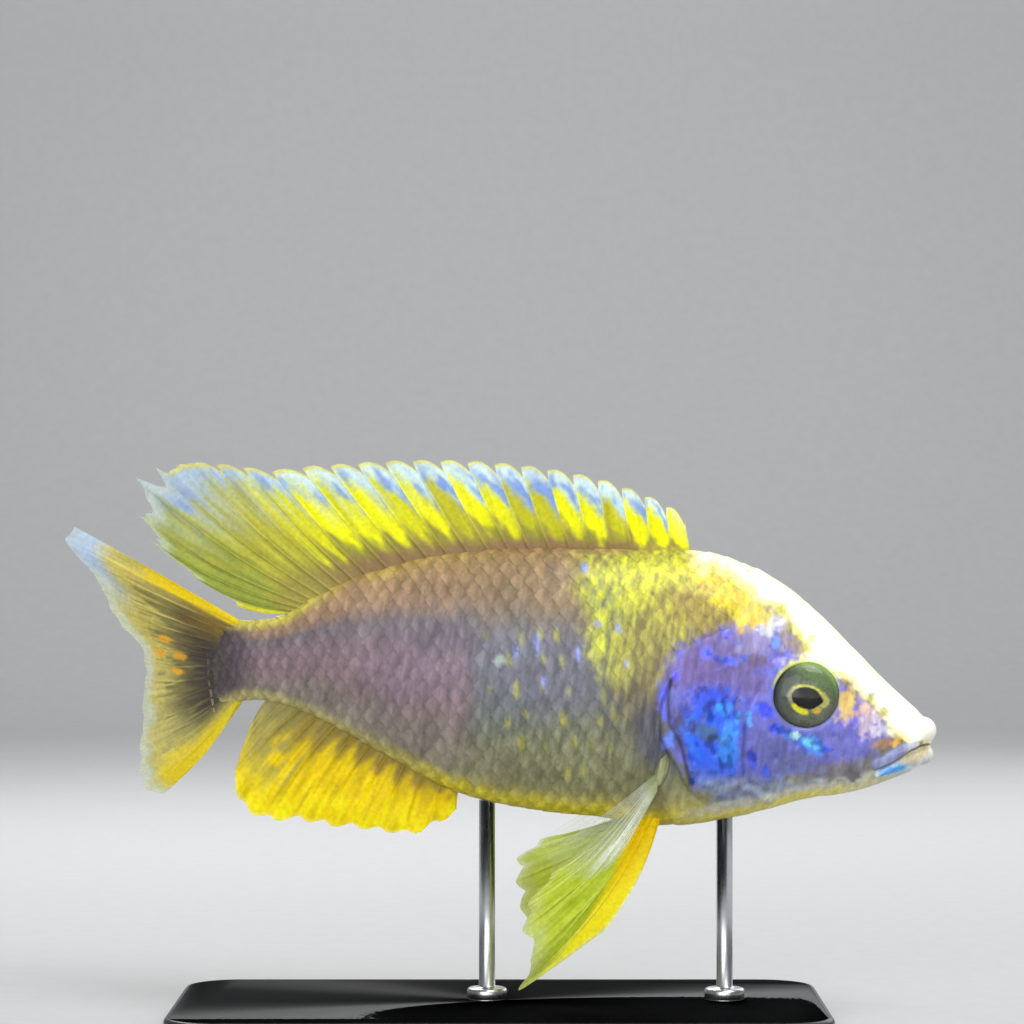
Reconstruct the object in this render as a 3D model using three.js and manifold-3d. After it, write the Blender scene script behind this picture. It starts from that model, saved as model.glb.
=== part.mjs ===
// A male peacock cichlid, life size and still, held in its swimming pose by a plain display stand.
// Lengths are in millimetres. +Z is up, the fish faces +X and its right side faces -Y.
// The origin is on the floor, at the centre of the underside of the stand's base.
import * as THREE from "three";
import { mergeVertices } from "three/addons/utils/BufferGeometryUtils.js";
import Module from "manifold-3d";

const wasm = await Module();
wasm.setup();

// Driving dimensions of the body
const SNOUT_X = 69.4; // front of the closed mouth, under the lips
const NOSE_ROUND_X = 65.5; // from here forward the snout rounds off
const TAIL_ROOT_X = -43.6; // where the flesh of the tail stalk ends
const BEND_START_X = 10; // the body is straight ahead of this
const TAIL_SWING = 8; // how far the root of the tail fin swings to the fish's left
const WIDEST_LEVEL = 0.46; // height of the body's widest level, as a share of its depth
const RIDGE_POWER = 1.18; // above 1 narrows the back to a ridge
const BELLY_POWER = 0.86; // below 1 fills the belly
const GAP = 0.3; // what neighbouring pieces keep between them

// Back line, belly line and half width, each as x and a height or width, from the lips to the tail
const BACK = [
  [65.5, 51.3], [60.9, 55.7], [54.5, 62.5], [48.1, 68.6], [41.7, 72.9], [35.3, 75.5], [30, 76.2],
  [16.1, 76.4], [3.3, 76.5], [-9.5, 75.4], [-22.3, 72.1], [-30.3, 68.4], [-35.1, 65.6], [-43.6, 64.9],
];
const BELLY = [
  [65.5, 40.6], [57.7, 37.8], [48.1, 36.1], [38.5, 33.6], [25.7, 31.9], [16.1, 33.3], [6.5, 34.3],
  [-6, 36.9], [-15.9, 41.7], [-28.7, 48.6], [-35.1, 51.1], [-39.9, 51.6], [-43.6, 50.8],
];
const HALF_WIDTH = [
  [65.5, 4.1], [60, 5.6], [54, 6.7], [48, 7.7], [40, 8.8], [30, 9.3], [18, 9.1], [6, 8.3],
  [-8, 6.8], [-20, 5.1], [-30, 3.7], [-38, 2.6], [-43.6, 1.7],
];
const RING_STEP = 3.1; // spacing of the body's cross sections
const RING_SIDES = 26;
const NOSE_RINGS = 5;

// Driving dimensions of the head
const EYE = { x: 48.4, z: 53.2, radius: 5.25, depth: 3.8, bulge: 0.9, rim: 0.55, rimSunk: 0.33 };
const NOSTRIL = { x: 59.2, z: 53, radius: 0.55, proud: 0.1 };
const MOUTH_CORNER = [59.4, 41.9];
const MOUTH_FRONT = [71.5, 45.3];
const MOUTH_OPENING = 0.8; // height of the slit between the lips at the front
const CHIN_BACK = [56.2, 36];
const BELOW_CHIN = 4; // how far the jaw's cut reaches below the chin
const UPPER_LIP = { frontX: 68.2, frontZ: 47.4, frontRadius: 1.75, cornerRadius: 0.6, lift: 0.9 };
const LOWER_LIP = { frontX: 67.9, frontZ: 43.5, frontRadius: 1.3, cornerRadius: 0.6, lift: -0.7 };
const LIP_SWELL = 1.3; // above 1 keeps a lip thin near the corner of the mouth
const GILL_COVER = { raised: 0.7, sunk: 1, recess: 0.42, outlinePoints: 30 };
const GILL_COVER_EDGE = [
  [39.6, 58.4], [34, 61], [28.8, 58], [25.6, 52.6], [25.2, 47], [27.6, 42.2], [30.4, 37.6],
  [35, 34.6], [39, 36.6], [40.2, 47.5],
];

// The cut between head and trunk runs from above the nape, behind the gill covers, to below the throat.
const NAPE = [31.8, 80];
const NECK = [30.2, 58];
const THROAT = [31.5, 38];
const BELOW_THROAT = 28;
const STALK_TOP = [-33.8, 71];
const STALK_BOTTOM = [-39.4, 46];

// Driving dimensions of the stand
const BASE = { length: 104, width: 56, height: 4, corner: 9, bevel: 0.8 };
const ROD = { radius: 1.3, frontX: 36, rearX: -2, sides: 16, sunk: 2 };
const COLLAR = { radius: 3.2, height: 1.8, bevel: 0.5 }; // at the foot of each rod

// Helpers: smooth lines, solids and booleans
function smoothLine(points) {
  const inOrder = [...points].sort((a, b) => a[0] - b[0]);
  const places = inOrder.map((point) => point[0]);
  const values = inOrder.map((point) => point[1]);
  const line = new THREE.CubicInterpolant(places, values, 1, new Float32Array(1));
  return (place) => line.evaluate(THREE.MathUtils.clamp(place, places[0], places.at(-1)))[0];
}

function closedGeometry(vertices, faces) {
  const geometry = new THREE.BufferGeometry();
  geometry.setAttribute("position", new THREE.Float32BufferAttribute(vertices.flat(), 3));
  geometry.setIndex(faces.flat());
  return geometry;
}

function solidFrom(geometry) {
  const loose = geometry.index ? geometry.toNonIndexed() : geometry;
  const bare = new THREE.BufferGeometry().setAttribute("position", loose.getAttribute("position"));
  const merged = mergeVertices(bare, 1e-4);
  const vertProperties = new Float32Array(merged.attributes.position.array);
  const triVerts = new Uint32Array(merged.index.array);
  return new wasm.Manifold(new wasm.Mesh({ numProp: 3, vertProperties, triVerts }));
}

// The largest closed surface of a solid: a loose scrap or a sealed hollow is dropped.
function largest(solid) {
  return solid.decompose().reduce((best, piece) => (piece.volume() > best.volume() ? piece : best));
}

function geometryFrom(solid) {
  const mesh = solid.getMesh();
  const geometry = new THREE.BufferGeometry();
  geometry.setAttribute("position", new THREE.BufferAttribute(mesh.vertProperties, 3));
  geometry.setIndex(new THREE.BufferAttribute(mesh.triVerts, 1));
  geometry.computeVertexNormals();
  return geometry;
}

// A plate through the whole body: an outline in side view, drawn out from one side to the other.
function sidePlate(outline, fromY, toY) {
  const points = outline.map(([x, z]) => new THREE.Vector2(x, z));
  if (THREE.ShapeUtils.isClockWise(points)) points.reverse();
  const plate = new THREE.ExtrudeGeometry(new THREE.Shape(points), {
    depth: toY - fromY,
    bevelEnabled: false,
    curveSegments: 1,
  });
  plate.rotateX(Math.PI / 2);
  plate.translate(0, toY, 0);
  return solidFrom(plate);
}

// A closed outline in side view, rounded through its few points and grown outwards.
function roundedOutline(points, count, grow) {
  const loop = new THREE.CatmullRomCurve3(
    points.map(([x, z]) => new THREE.Vector3(x, 0, z)),
    true,
  );
  const centre = new THREE.Box3().setFromPoints(loop.points).getCenter(new THREE.Vector3());
  return Array.from({ length: count }, (_, i) => {
    const place = loop.getPointAt(i / count);
    const along = loop.getTangentAt(i / count);
    const out = new THREE.Vector3(along.z, 0, -along.x);
    if (out.dot(place.clone().sub(centre)) < 0) out.negate();
    place.addScaledVector(out, grow);
    return [place.x, place.z];
  });
}

// A round bar along a curve, with a radius that changes from end to end.
function taperedBar(curve, radiusAt, steps, sides) {
  const frames = curve.computeFrenetFrames(steps, false);
  const vertices = [];
  const faces = [];
  for (let i = 0; i <= steps; i++) {
    const centre = curve.getPointAt(i / steps);
    for (let k = 0; k < sides; k++) {
      const turn = (2 * Math.PI * k) / sides;
      const point = centre.clone();
      point.addScaledVector(frames.normals[i], Math.cos(turn) * radiusAt(i / steps));
      point.addScaledVector(frames.binormals[i], Math.sin(turn) * radiusAt(i / steps));
      vertices.push(point.toArray());
    }
  }
  for (let i = 0; i < steps; i++) {
    for (let k = 0; k < sides; k++) {
      const a = i * sides + k;
      const b = i * sides + ((k + 1) % sides);
      faces.push([a, b, b + sides], [a, b + sides, a + sides]);
    }
  }
  for (let k = 1; k < sides - 1; k++) {
    const last = steps * sides;
    faces.push([0, k + 1, k], [last, last + k, last + k + 1]);
  }
  return solidFrom(closedGeometry(vertices, faces));
}

// The whole body, from the snout to the root of the tail fin
const backAt = smoothLine(BACK);
const bellyAt = smoothLine(BELLY);
const halfWidthAt = smoothLine(HALF_WIDTH);

// How far the middle of the fish lies to its left at x, as its tail swings away.
function bendAt(x) {
  const share = Math.max(0, BEND_START_X - x) / (BEND_START_X - TAIL_ROOT_X);
  return TAIL_SWING * share * share;
}

// How far the skin stands from the middle plane at a place in side view.
function flankAt(x, z) {
  const back = backAt(x);
  const belly = bellyAt(x);
  const middle = belly + WIDEST_LEVEL * (back - belly);
  const height = z > middle ? (z - middle) / (back - middle) : (middle - z) / (middle - belly);
  const level = Math.sqrt(Math.max(0, 1 - height * height));
  return halfWidthAt(x) * Math.pow(level, z > middle ? RIDGE_POWER : BELLY_POWER);
}

// One cross section, grown all round and shrunk by a share for the rounding of the snout.
function bodyRing(x, grow, share, shownX) {
  const back = backAt(x) + grow;
  const belly = bellyAt(x) - grow;
  const half = halfWidthAt(x) + grow;
  const middle = belly + WIDEST_LEVEL * (back - belly);
  return Array.from({ length: RING_SIDES }, (_, k) => {
    const turn = (2 * Math.PI * k) / RING_SIDES;
    const up = Math.cos(turn);
    const reach = up > 0 ? back - middle : middle - belly;
    const power = up > 0 ? RIDGE_POWER : BELLY_POWER;
    const side = Math.sign(Math.sin(turn)) * Math.pow(Math.abs(Math.sin(turn)), power);
    return [shownX, bendAt(x) + half * side * share, middle + reach * up * share];
  });
}

function centreOf(ring) {
  const sum = new THREE.Vector3();
  for (const point of ring) sum.add(new THREE.Vector3(...point));
  return sum.divideScalar(ring.length).toArray();
}

function bodySolid(grow) {
  const tailX = TAIL_ROOT_X - grow;
  const count = Math.round((NOSE_ROUND_X - tailX) / RING_STEP);
  const rings = [];
  for (let i = 0; i <= count; i++) {
    const x = tailX + ((NOSE_ROUND_X - tailX) * i) / count;
    rings.push(bodyRing(x, grow, 1, x));
  }
  for (let i = 1; i < NOSE_RINGS; i++) {
    const turn = (Math.PI / 2) * (i / NOSE_RINGS);
    const shownX = NOSE_ROUND_X + (SNOUT_X + grow - NOSE_ROUND_X) * Math.sin(turn);
    rings.push(bodyRing(NOSE_ROUND_X, grow, Math.cos(turn), shownX));
  }
  const vertices = rings.flat();
  const faces = [];
  for (let i = 0; i + 1 < rings.length; i++) {
    for (let k = 0; k < RING_SIDES; k++) {
      const a = i * RING_SIDES + k;
      const b = i * RING_SIDES + ((k + 1) % RING_SIDES);
      faces.push([a, b + RING_SIDES, b], [a, a + RING_SIDES, b + RING_SIDES]);
    }
  }
  const tailCentre = vertices.push(centreOf(rings[0])) - 1;
  const [, tipY, tipZ] = centreOf(rings.at(-1));
  const noseTip = vertices.push([SNOUT_X + grow, tipY, tipZ]) - 1;
  const front = (rings.length - 1) * RING_SIDES;
  for (let k = 0; k < RING_SIDES; k++) {
    const next = (k + 1) % RING_SIDES;
    faces.push([tailCentre, k, next], [noseTip, front + next, front + k]);
  }
  return solidFrom(closedGeometry(vertices, faces));
}

const body = bodySolid(0);
const bodyGrown = bodySolid(GAP);
const bodyUnderCover = bodySolid(-GILL_COVER.sunk);

// The cuts that divide the body
const FAR = 40; // past the body on every side
const gillOutline = (grow) => roundedOutline(GILL_COVER_EDGE, GILL_COVER.outlinePoints, grow);

function headRegion(grow) {
  const ahead = SNOUT_X + FAR;
  const front = [[NAPE[0] - grow, NAPE[1]], [ahead, NAPE[1]], [ahead, BELOW_THROAT]];
  const back = [[THROAT[0], BELOW_THROAT], THROAT, NECK].map(([x, z]) => [x - grow, z]);
  const wedge = sidePlate([...front, ...back], -FAR, FAR);
  return wedge.add(sidePlate(gillOutline(GAP + grow), -FAR, FAR));
}

function jawRegion(grow) {
  const opening = grow > 0 ? MOUTH_OPENING : 0;
  return sidePlate(
    [
      [MOUTH_CORNER[0] - grow, MOUTH_CORNER[1] + grow],
      [MOUTH_FRONT[0], MOUTH_FRONT[1] + opening],
      [MOUTH_FRONT[0], bellyAt(CHIN_BACK[0]) - BELOW_CHIN],
      [CHIN_BACK[0] - grow, CHIN_BACK[1] - BELOW_CHIN / 2],
    ],
    -FAR,
    FAR,
  );
}

function stalkRegion(grow) {
  const front = [[STALK_BOTTOM[0] + grow, STALK_BOTTOM[1]], [STALK_TOP[0] + grow, STALK_TOP[1]]];
  const back = [[TAIL_ROOT_X - FAR, STALK_TOP[1]], [TAIL_ROOT_X - FAR, STALK_BOTTOM[1]]];
  return sidePlate([...front, ...back], -FAR, FAR);
}

// Head: skull, upper lip, eye sockets, nostrils and the recesses of the gill covers
const side = { right: -1, left: 1 };

function eyeSolid(sign, grow) {
  const [around, rows] = [20, 12];
  const ball = new THREE.SphereGeometry(1, around, rows);
  ball.rotateX(Math.PI / 2);
  ball.scale(EYE.radius + grow, EYE.depth + grow, EYE.radius + grow);
  const middle = flankAt(EYE.x, EYE.z) + EYE.bulge - EYE.depth;
  ball.translate(EYE.x, sign * middle, EYE.z);
  return solidFrom(ball);
}

function eyeRim(sign) {
  const [across, around] = [6, 24];
  const ring = new THREE.TorusGeometry(EYE.radius + EYE.rim, EYE.rim, across, around);
  ring.rotateX(Math.PI / 2);
  ring.translate(EYE.x, sign * (flankAt(EYE.x, EYE.z) - EYE.rimSunk), EYE.z);
  return solidFrom(ring);
}

function nostrilPit(sign) {
  const [around, rows] = [10, 8];
  const pit = new THREE.SphereGeometry(NOSTRIL.radius, around, rows);
  pit.translate(NOSTRIL.x, sign * (flankAt(NOSTRIL.x, NOSTRIL.z) + NOSTRIL.proud), NOSTRIL.z);
  return solidFrom(pit);
}

// A lip runs from one corner of the mouth round the front to the other.
function lip({ frontX, frontZ, frontRadius, cornerRadius, lift }) {
  const [cornerX, cornerZ] = MOUTH_CORNER;
  const cornerAhead = 0.3;
  const middleX = (frontX + cornerX) / 2 + 1;
  const middleZ = (frontZ + cornerZ + lift) / 2;
  const middleSunk = 0.7;
  const bend = { behind: 1, aside: 1.9, below: 0.2 };
  const half = [
    [cornerX + cornerAhead, -flankAt(cornerX, cornerZ), cornerZ + lift],
    [middleX, -flankAt(middleX, middleZ) + middleSunk, middleZ],
    [frontX - bend.behind, -bend.aside, frontZ - bend.below],
  ];
  const otherHalf = half.toReversed().map(([x, y, z]) => [x, -y, z]);
  const points = [...half, [frontX, 0, frontZ], ...otherHalf];
  const path = new THREE.CatmullRomCurve3(points.map((point) => new THREE.Vector3(...point)));
  const radiusAt = (t) => {
    const swell = Math.pow(Math.sin(Math.PI * t), LIP_SWELL);
    return THREE.MathUtils.lerp(cornerRadius, frontRadius, swell);
  };
  const [steps, sides] = [14, 9];
  return taperedBar(path, radiusAt, steps, sides);
}

function gillCover(sign) {
  const fromMiddle = 1;
  const [near, far] = sign < 0 ? [-FAR, -fromMiddle] : [fromMiddle, FAR];
  const plate = sidePlate(gillOutline(0), near, far);
  return plate.intersect(bodySolid(GILL_COVER.raised)).subtract(bodyUnderCover);
}

function gillRecess() {
  const plate = sidePlate(gillOutline(GILL_COVER.recess), -FAR, FAR);
  return plate.subtract(bodySolid(-GILL_COVER.sunk - GAP));
}

function headSolid() {
  let solid = body.add(lip(UPPER_LIP)).intersect(headRegion(0));
  for (const sign of Object.values(side)) solid = solid.add(eyeRim(sign));
  solid = solid.subtract(jawRegion(GAP)).subtract(gillRecess());
  for (const sign of Object.values(side)) {
    solid = solid.subtract(eyeSolid(sign, GAP)).subtract(nostrilPit(sign));
  }
  return largest(solid);
}

// Fins: a web on rays that stand out as ridges on both faces, split alike on both faces
const RAY_FLANK = 0.26; // where a ridge ends, as a share of the way to the next ray
const FIN_SWING = 0.75; // how far the tips of the middle fins follow the bend of the body

function finSolid({ rays, rows, ray, web, notch }) {
  const places = [0];
  for (let i = 0; i + 1 < rays.length; i++) places.push(i + RAY_FLANK, i + 1 - RAY_FLANK, i + 1);
  const columns = places.map((place) => {
    const index = Math.min(Math.floor(place), rays.length - 2);
    const share = place - index;
    const onRay = share === 0 || share === 1;
    const length = rays[index].getLength();
    const drop = onRay ? 0 : (share < 0.5 ? notch.behind : notch.ahead) / length;
    return Array.from({ length: rows + 1 }, (_, row) => {
      const t = (row / rows) * (1 - drop);
      const point = rays[index].getPoint(t).lerp(rays[index + 1].getPoint(t), share);
      const size = onRay ? ray : web;
      return { point, half: THREE.MathUtils.lerp(size.root, size.tip, row / rows) / 2 };
    });
  });
  return solidFrom(sheetOf(columns, rows));
}

// Two faces on either side of a grid of points, closed round the edge.
function sheetOf(columns, rows) {
  const last = columns.length - 1;
  const at = (c, r) => columns[THREE.MathUtils.clamp(c, 0, last)][THREE.MathUtils.clamp(r, 0, rows)].point;
  const faces = [];
  const front = [];
  const back = [];
  for (let c = 0; c <= last; c++) {
    for (let r = 0; r <= rows; r++) {
      const across = at(c + 1, r).clone().sub(at(c - 1, r));
      const along = at(c, r + 1).clone().sub(at(c, r - 1));
      const normal = across.cross(along).normalize();
      const { point, half } = columns[c][r];
      front.push(point.clone().addScaledVector(normal, half).toArray());
      back.push(point.clone().addScaledVector(normal, -half).toArray());
    }
  }
  const index = (c, r) => c * (rows + 1) + r;
  const offset = front.length;
  for (let c = 0; c < last; c++) {
    for (let r = 0; r < rows; r++) {
      const [a, b, d, e] = [index(c, r), index(c + 1, r), index(c + 1, r + 1), index(c, r + 1)];
      faces.push([a, b, d], [a, d, e]);
      faces.push([offset + a, offset + d, offset + b], [offset + a, offset + e, offset + d]);
    }
  }
  const rim = [];
  for (let c = 0; c < last; c++) rim.push(index(c, 0));
  for (let r = 0; r < rows; r++) rim.push(index(last, r));
  for (let c = last; c > 0; c--) rim.push(index(c, rows));
  for (let r = rows; r > 0; r--) rim.push(index(0, r));
  rim.forEach((a, i) => {
    const b = rim[(i + 1) % rim.length];
    faces.push([a, offset + a, offset + b], [a, offset + b, b]);
  });
  return closedGeometry([...front, ...back], faces);
}

// A ray from its root to its tip, bowed sideways in side view by a share of its length.
function finRay(root, tip, bow) {
  const middle = root.clone().lerp(tip, 0.5);
  const run = tip.clone().sub(root);
  middle.x += -run.z * bow;
  middle.z += run.x * bow;
  return new THREE.QuadraticBezierCurve3(root, middle, tip);
}

// The tips of a fin's rays, spread along its outer edge, which is given in side view.
function edgeTips(edge, shares) {
  const line = new THREE.SplineCurve(edge.map(([x, z]) => new THREE.Vector2(x, z)));
  return shares.map((share) => line.getPointAt(share));
}

function evenShares(count) {
  return Array.from({ length: count }, (_, i) => i / (count - 1));
}

// A ray of a middle fin, from its root on the body's outline to its tip in side view.
function middleRay(x, z, tip, bow) {
  const swing = FIN_SWING * (bendAt(tip.x) - bendAt(x));
  return finRay(new THREE.Vector3(x, bendAt(x), z), new THREE.Vector3(tip.x, bendAt(x) + swing, tip.y), bow);
}

const MIDDLE_FIN = { rows: 6, ray: { root: 1.1, tip: 0.6 }, web: { root: 0.6, tip: 0.5 } };

// Dorsal fin: sixteen spines, then ten soft rays that fan out behind
const DORSAL = {
  spines: 16, softRays: 10, startX: 30.8, spineEndX: -17.4, endX: -32.4,
  tipCrowding: 1.08, // above 1 sets the first spines' tips closer together
  softStart: 0.14, // how far the first soft root lies behind the last spine's, as a share
  softCrowding: 1.7, // above 1 crowds the last soft roots
  bow: { spines: 0.03, lastRay: 0.12 },
  notch: { behind: 1.1, ahead: 0.15 },
};
const DORSAL_SPINE_EDGE = [
  [29.6, 81.4], [24.1, 84.3], [15, 87.4], [1.4, 89.6], [-14, 90.2], [-31.8, 89.2],
];
const DORSAL_SOFT_EDGE = [
  [-36.4, 88.9], [-49.7, 90.2], [-57.6, 89.2], [-59.8, 84.4], [-56.6, 77.6], [-50.6, 71.4], [-45, 67.7],
];

function dorsalFin() {
  const { spines, softRays, startX, spineEndX, endX, bow } = DORSAL;
  const spineTips = edgeTips(
    DORSAL_SPINE_EDGE,
    evenShares(spines).map((share) => Math.pow(share, DORSAL.tipCrowding)),
  );
  const tips = [...spineTips, ...edgeTips(DORSAL_SOFT_EDGE, evenShares(softRays))];
  const spineRoots = evenShares(spines).map((share) => THREE.MathUtils.lerp(startX, spineEndX, share));
  const softRoots = evenShares(softRays).map((share) => {
    const place = THREE.MathUtils.lerp(DORSAL.softStart, 1, share);
    return THREE.MathUtils.lerp(spineEndX, endX, 1 - Math.pow(1 - place, DORSAL.softCrowding));
  });
  const rays = [...spineRoots, ...softRoots].map((x, i) => {
    const soft = Math.max(0, i - spines + 1) / softRays;
    return middleRay(x, backAt(x) + GAP, tips[i], bow.spines + bow.lastRay * soft * soft);
  });
  return finSolid({ ...MIDDLE_FIN, rays, notch: DORSAL.notch });
}

// Anal fin: three spines and nine soft rays
const ANAL = {
  rays: 12, startX: -6.6, endX: -37,
  bow: { first: -0.02, last: -0.1 },
  notch: { behind: 0.8, ahead: 0.2 },
};
const ANAL_EDGE = [
  [-7, 33.2], [-12.7, 30.4], [-25, 31.2], [-35.9, 32], [-41.4, 33.6], [-43.2, 37.5], [-42.4, 42],
  [-40.6, 46.6],
];

function analFin() {
  const shares = evenShares(ANAL.rays);
  const tips = edgeTips(ANAL_EDGE, shares);
  const rays = shares.map((share, i) => {
    const x = THREE.MathUtils.lerp(ANAL.startX, ANAL.endX, share);
    const bow = THREE.MathUtils.lerp(ANAL.bow.first, ANAL.bow.last, share);
    return middleRay(x, bellyAt(x) - GAP, tips[i], bow);
  });
  return finSolid({ ...MIDDLE_FIN, rays, notch: ANAL.notch });
}

// Tail fin: sixteen rays from the end of the tail stalk to a forked edge
const CAUDAL = {
  rays: 16, rows: 7, sunk: 0.6, topZ: 64.6, lowZ: 51.1,
  upperTipY: 19, forkY: 17, lowerTipY: 22, // how far the tips swing to the fish's left
  swingHalfWay: 0.42, // share of that swing at a ray's bending point
  bow: 0.09,
  ray: { root: 2.2, tip: 0.55 },
  web: { root: 1.9, tip: 0.45 },
  notch: { behind: 0.7, ahead: 0.7 },
};
const CAUDAL_EDGE = [
  [-72.4, 79.4], [-68.3, 74.1], [-64.6, 68.5], [-61.2, 63.2], [-58.9, 57.6], [-59, 51], [-59.6, 42.5],
  [-59.4, 37.2], [-56.8, 34.5],
];

function caudalFin() {
  const shares = evenShares(CAUDAL.rays);
  const tips = edgeTips(CAUDAL_EDGE, shares);
  const tipYAt = smoothLine([[0, CAUDAL.upperTipY], [0.5, CAUDAL.forkY], [1, CAUDAL.lowerTipY]]);
  const rootX = TAIL_ROOT_X + CAUDAL.sunk;
  const rays = shares.map((share, i) => {
    const rootZ = THREE.MathUtils.lerp(CAUDAL.topZ, CAUDAL.lowZ, share);
    const root = new THREE.Vector3(rootX, bendAt(rootX), rootZ);
    const tip = new THREE.Vector3(tips[i].x, tipYAt(share), tips[i].y);
    const curve = finRay(root, tip, CAUDAL.bow * (2 * share - 1));
    curve.v1.y = THREE.MathUtils.lerp(root.y, tip.y, CAUDAL.swingHalfWay);
    return curve;
  });
  return largest(finSolid({ ...CAUDAL, rays }).subtract(bodyGrown));
}

// Pelvic fins: one spine and five rays, hanging down and back from the belly
const PELVIC = {
  frontX: 25.4, rearX: 21.4, innerY: 2.4, outerY: 4.6, sunk: 1.6, rows: 7,
  bow: { first: 0.12, last: 0.048 },
  ray: { root: 1.2, tip: 0.5 },
  web: { root: 0.7, tip: 0.5 },
  notch: { behind: 1.4, ahead: 0.6 },
};
const PELVIC_TIPS = {
  right: [
    [16.4, -7.2, 15.6], [3.2, -9, 6.9], [4.8, -10, 11.6], [3.6, -10.6, 16.4], [4.6, -10.6, 20.8],
    [8.5, -9, 25.4],
  ],
  left: [
    [16.6, 8, 17.4], [6.4, 12, 11.6], [3.4, 13, 17.4], [2.6, 13.4, 21.6], [2.8, 13, 25.6], [7, 11, 29],
  ],
};

function pelvicFin(name) {
  const tips = PELVIC_TIPS[name];
  const rays = evenShares(tips.length).map((share, i) => {
    const x = THREE.MathUtils.lerp(PELVIC.frontX, PELVIC.rearX, share);
    const y = THREE.MathUtils.lerp(PELVIC.outerY, PELVIC.innerY, share);
    const root = new THREE.Vector3(x, side[name] * y, bellyAt(x) + PELVIC.sunk);
    const bow = THREE.MathUtils.lerp(PELVIC.bow.first, PELVIC.bow.last, share);
    return finRay(root, new THREE.Vector3(...tips[i]), bow);
  });
  return largest(finSolid({ ...PELVIC, rays }).subtract(bodyGrown));
}

// Pectoral fins: a fleshy base behind the gill cover and a folded fan of rays
const PECTORAL = {
  rays: 7, rows: 6, topRoot: [25, 41.4], lowRoot: [24.6, 37.4], proud: 0.4, bow: 0.04,
  ray: { root: 0.95, tip: 0.5 },
  web: { root: 0.6, tip: 0.45 },
  notch: { behind: 0.5, ahead: 0.3 },
};
const PECTORAL_BASE = { height: 3.2, length: 1.25, thickness: 1.6, proud: 0.2, up: 0.2 };
const PECTORAL_TIPS = [
  [6.2, -16.6, 28.4], [8.4, -17.4, 26.2], [11.4, -17.6, 24.6], [14.6, -17, 24.9], [18.4, -15.2, 27.6],
];

function pectoralFin(name) {
  const sign = side[name];
  const edge = new THREE.CatmullRomCurve3(
    PECTORAL_TIPS.map(([x, y, z]) => new THREE.Vector3(x, -sign * y, z)),
  );
  const [topX, topZ] = PECTORAL.topRoot;
  const [lowX, lowZ] = PECTORAL.lowRoot;
  const [middleX, middleZ] = [(topX + lowX) / 2, (topZ + lowZ) / 2];
  const skinY = flankAt(middleX, middleZ);
  const rays = evenShares(PECTORAL.rays).map((share) => {
    const x = THREE.MathUtils.lerp(topX, lowX, share);
    const z = THREE.MathUtils.lerp(topZ, lowZ, share);
    const root = new THREE.Vector3(x, sign * (skinY + PECTORAL.proud), z);
    return finRay(root, edge.getPointAt(share), PECTORAL.bow);
  });
  const [around, rows] = [12, 8];
  const base = new THREE.SphereGeometry(1, around, rows);
  base.scale(PECTORAL_BASE.length, PECTORAL_BASE.thickness, PECTORAL_BASE.height);
  base.rotateY(Math.atan2(topX - lowX, topZ - lowZ));
  base.translate(middleX, sign * (skinY + PECTORAL_BASE.proud), middleZ + PECTORAL_BASE.up);
  return largest(finSolid({ ...PECTORAL, rays }).add(solidFrom(base)).subtract(bodyGrown));
}

// Stand: a flat base with rounded corners, and two rods up to the belly
function standBase() {
  const { length, width, height, corner, bevel } = BASE;
  const halfLength = length / 2 - bevel;
  const halfWidth = width / 2 - bevel;
  const outline = new THREE.Shape();
  outline.moveTo(-halfLength + corner, -halfWidth);
  outline.lineTo(halfLength - corner, -halfWidth);
  outline.absarc(halfLength - corner, -halfWidth + corner, corner, -Math.PI / 2, 0);
  outline.absarc(halfLength - corner, halfWidth - corner, corner, 0, Math.PI / 2);
  outline.absarc(-halfLength + corner, halfWidth - corner, corner, Math.PI / 2, Math.PI);
  outline.absarc(-halfLength + corner, -halfWidth + corner, corner, Math.PI, 1.5 * Math.PI);
  const plate = new THREE.ExtrudeGeometry(outline, {
    depth: height - 2 * bevel,
    bevelThickness: bevel,
    bevelSize: bevel,
    bevelSegments: 2,
    curveSegments: 6,
  });
  plate.translate(0, 0, bevel);
  return solidFrom(plate);
}

// A rod with a turned collar at its foot, cut to the belly it carries.
function standRod(x) {
  const foot = BASE.height + GAP;
  const top = bellyAt(x) + ROD.sunk;
  const profile = [
    [0, foot],
    [COLLAR.radius, foot],
    [COLLAR.radius, foot + COLLAR.height - COLLAR.bevel],
    [COLLAR.radius - COLLAR.bevel, foot + COLLAR.height],
    [ROD.radius, foot + COLLAR.height],
    [ROD.radius, top],
    [0, top],
  ];
  const rod = new THREE.LatheGeometry(profile.map(([r, z]) => new THREE.Vector2(r, z)), ROD.sides);
  rod.rotateX(Math.PI / 2);
  rod.translate(x, bendAt(x), 0);
  return largest(solidFrom(rod).subtract(bodyGrown));
}

// The parts, each with the colour and finish of its real surface
const skin = (color) => ({ color, roughness: 0.42, metalness: 0 });
const finish = {
  head: skin(0x4a4c9c),
  jaw: skin(0x8ea3c8),
  gillCover: { color: 0x2f4fd8, roughness: 0.3, metalness: 0.25 },
  trunk: skin(0x7d7560),
  stalk: skin(0x6a5a72),
  yellowFin: skin(0xc9cf1f),
  tailFin: skin(0xa3a32a),
  clearFin: skin(0xb9c4a8),
  eye: { color: 0x1c2416, roughness: 0.08, metalness: 0 },
  base: { color: 0x2b2d30, roughness: 0.5, metalness: 0 },
  rod: { color: 0xb9bcc0, roughness: 0.3, metalness: 1 },
};

const group = new THREE.Group();

function place(name, solid, look) {
  const mesh = new THREE.Mesh(geometryFrom(solid), new THREE.MeshStandardMaterial(look));
  mesh.name = name;
  group.add(mesh);
}

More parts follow.
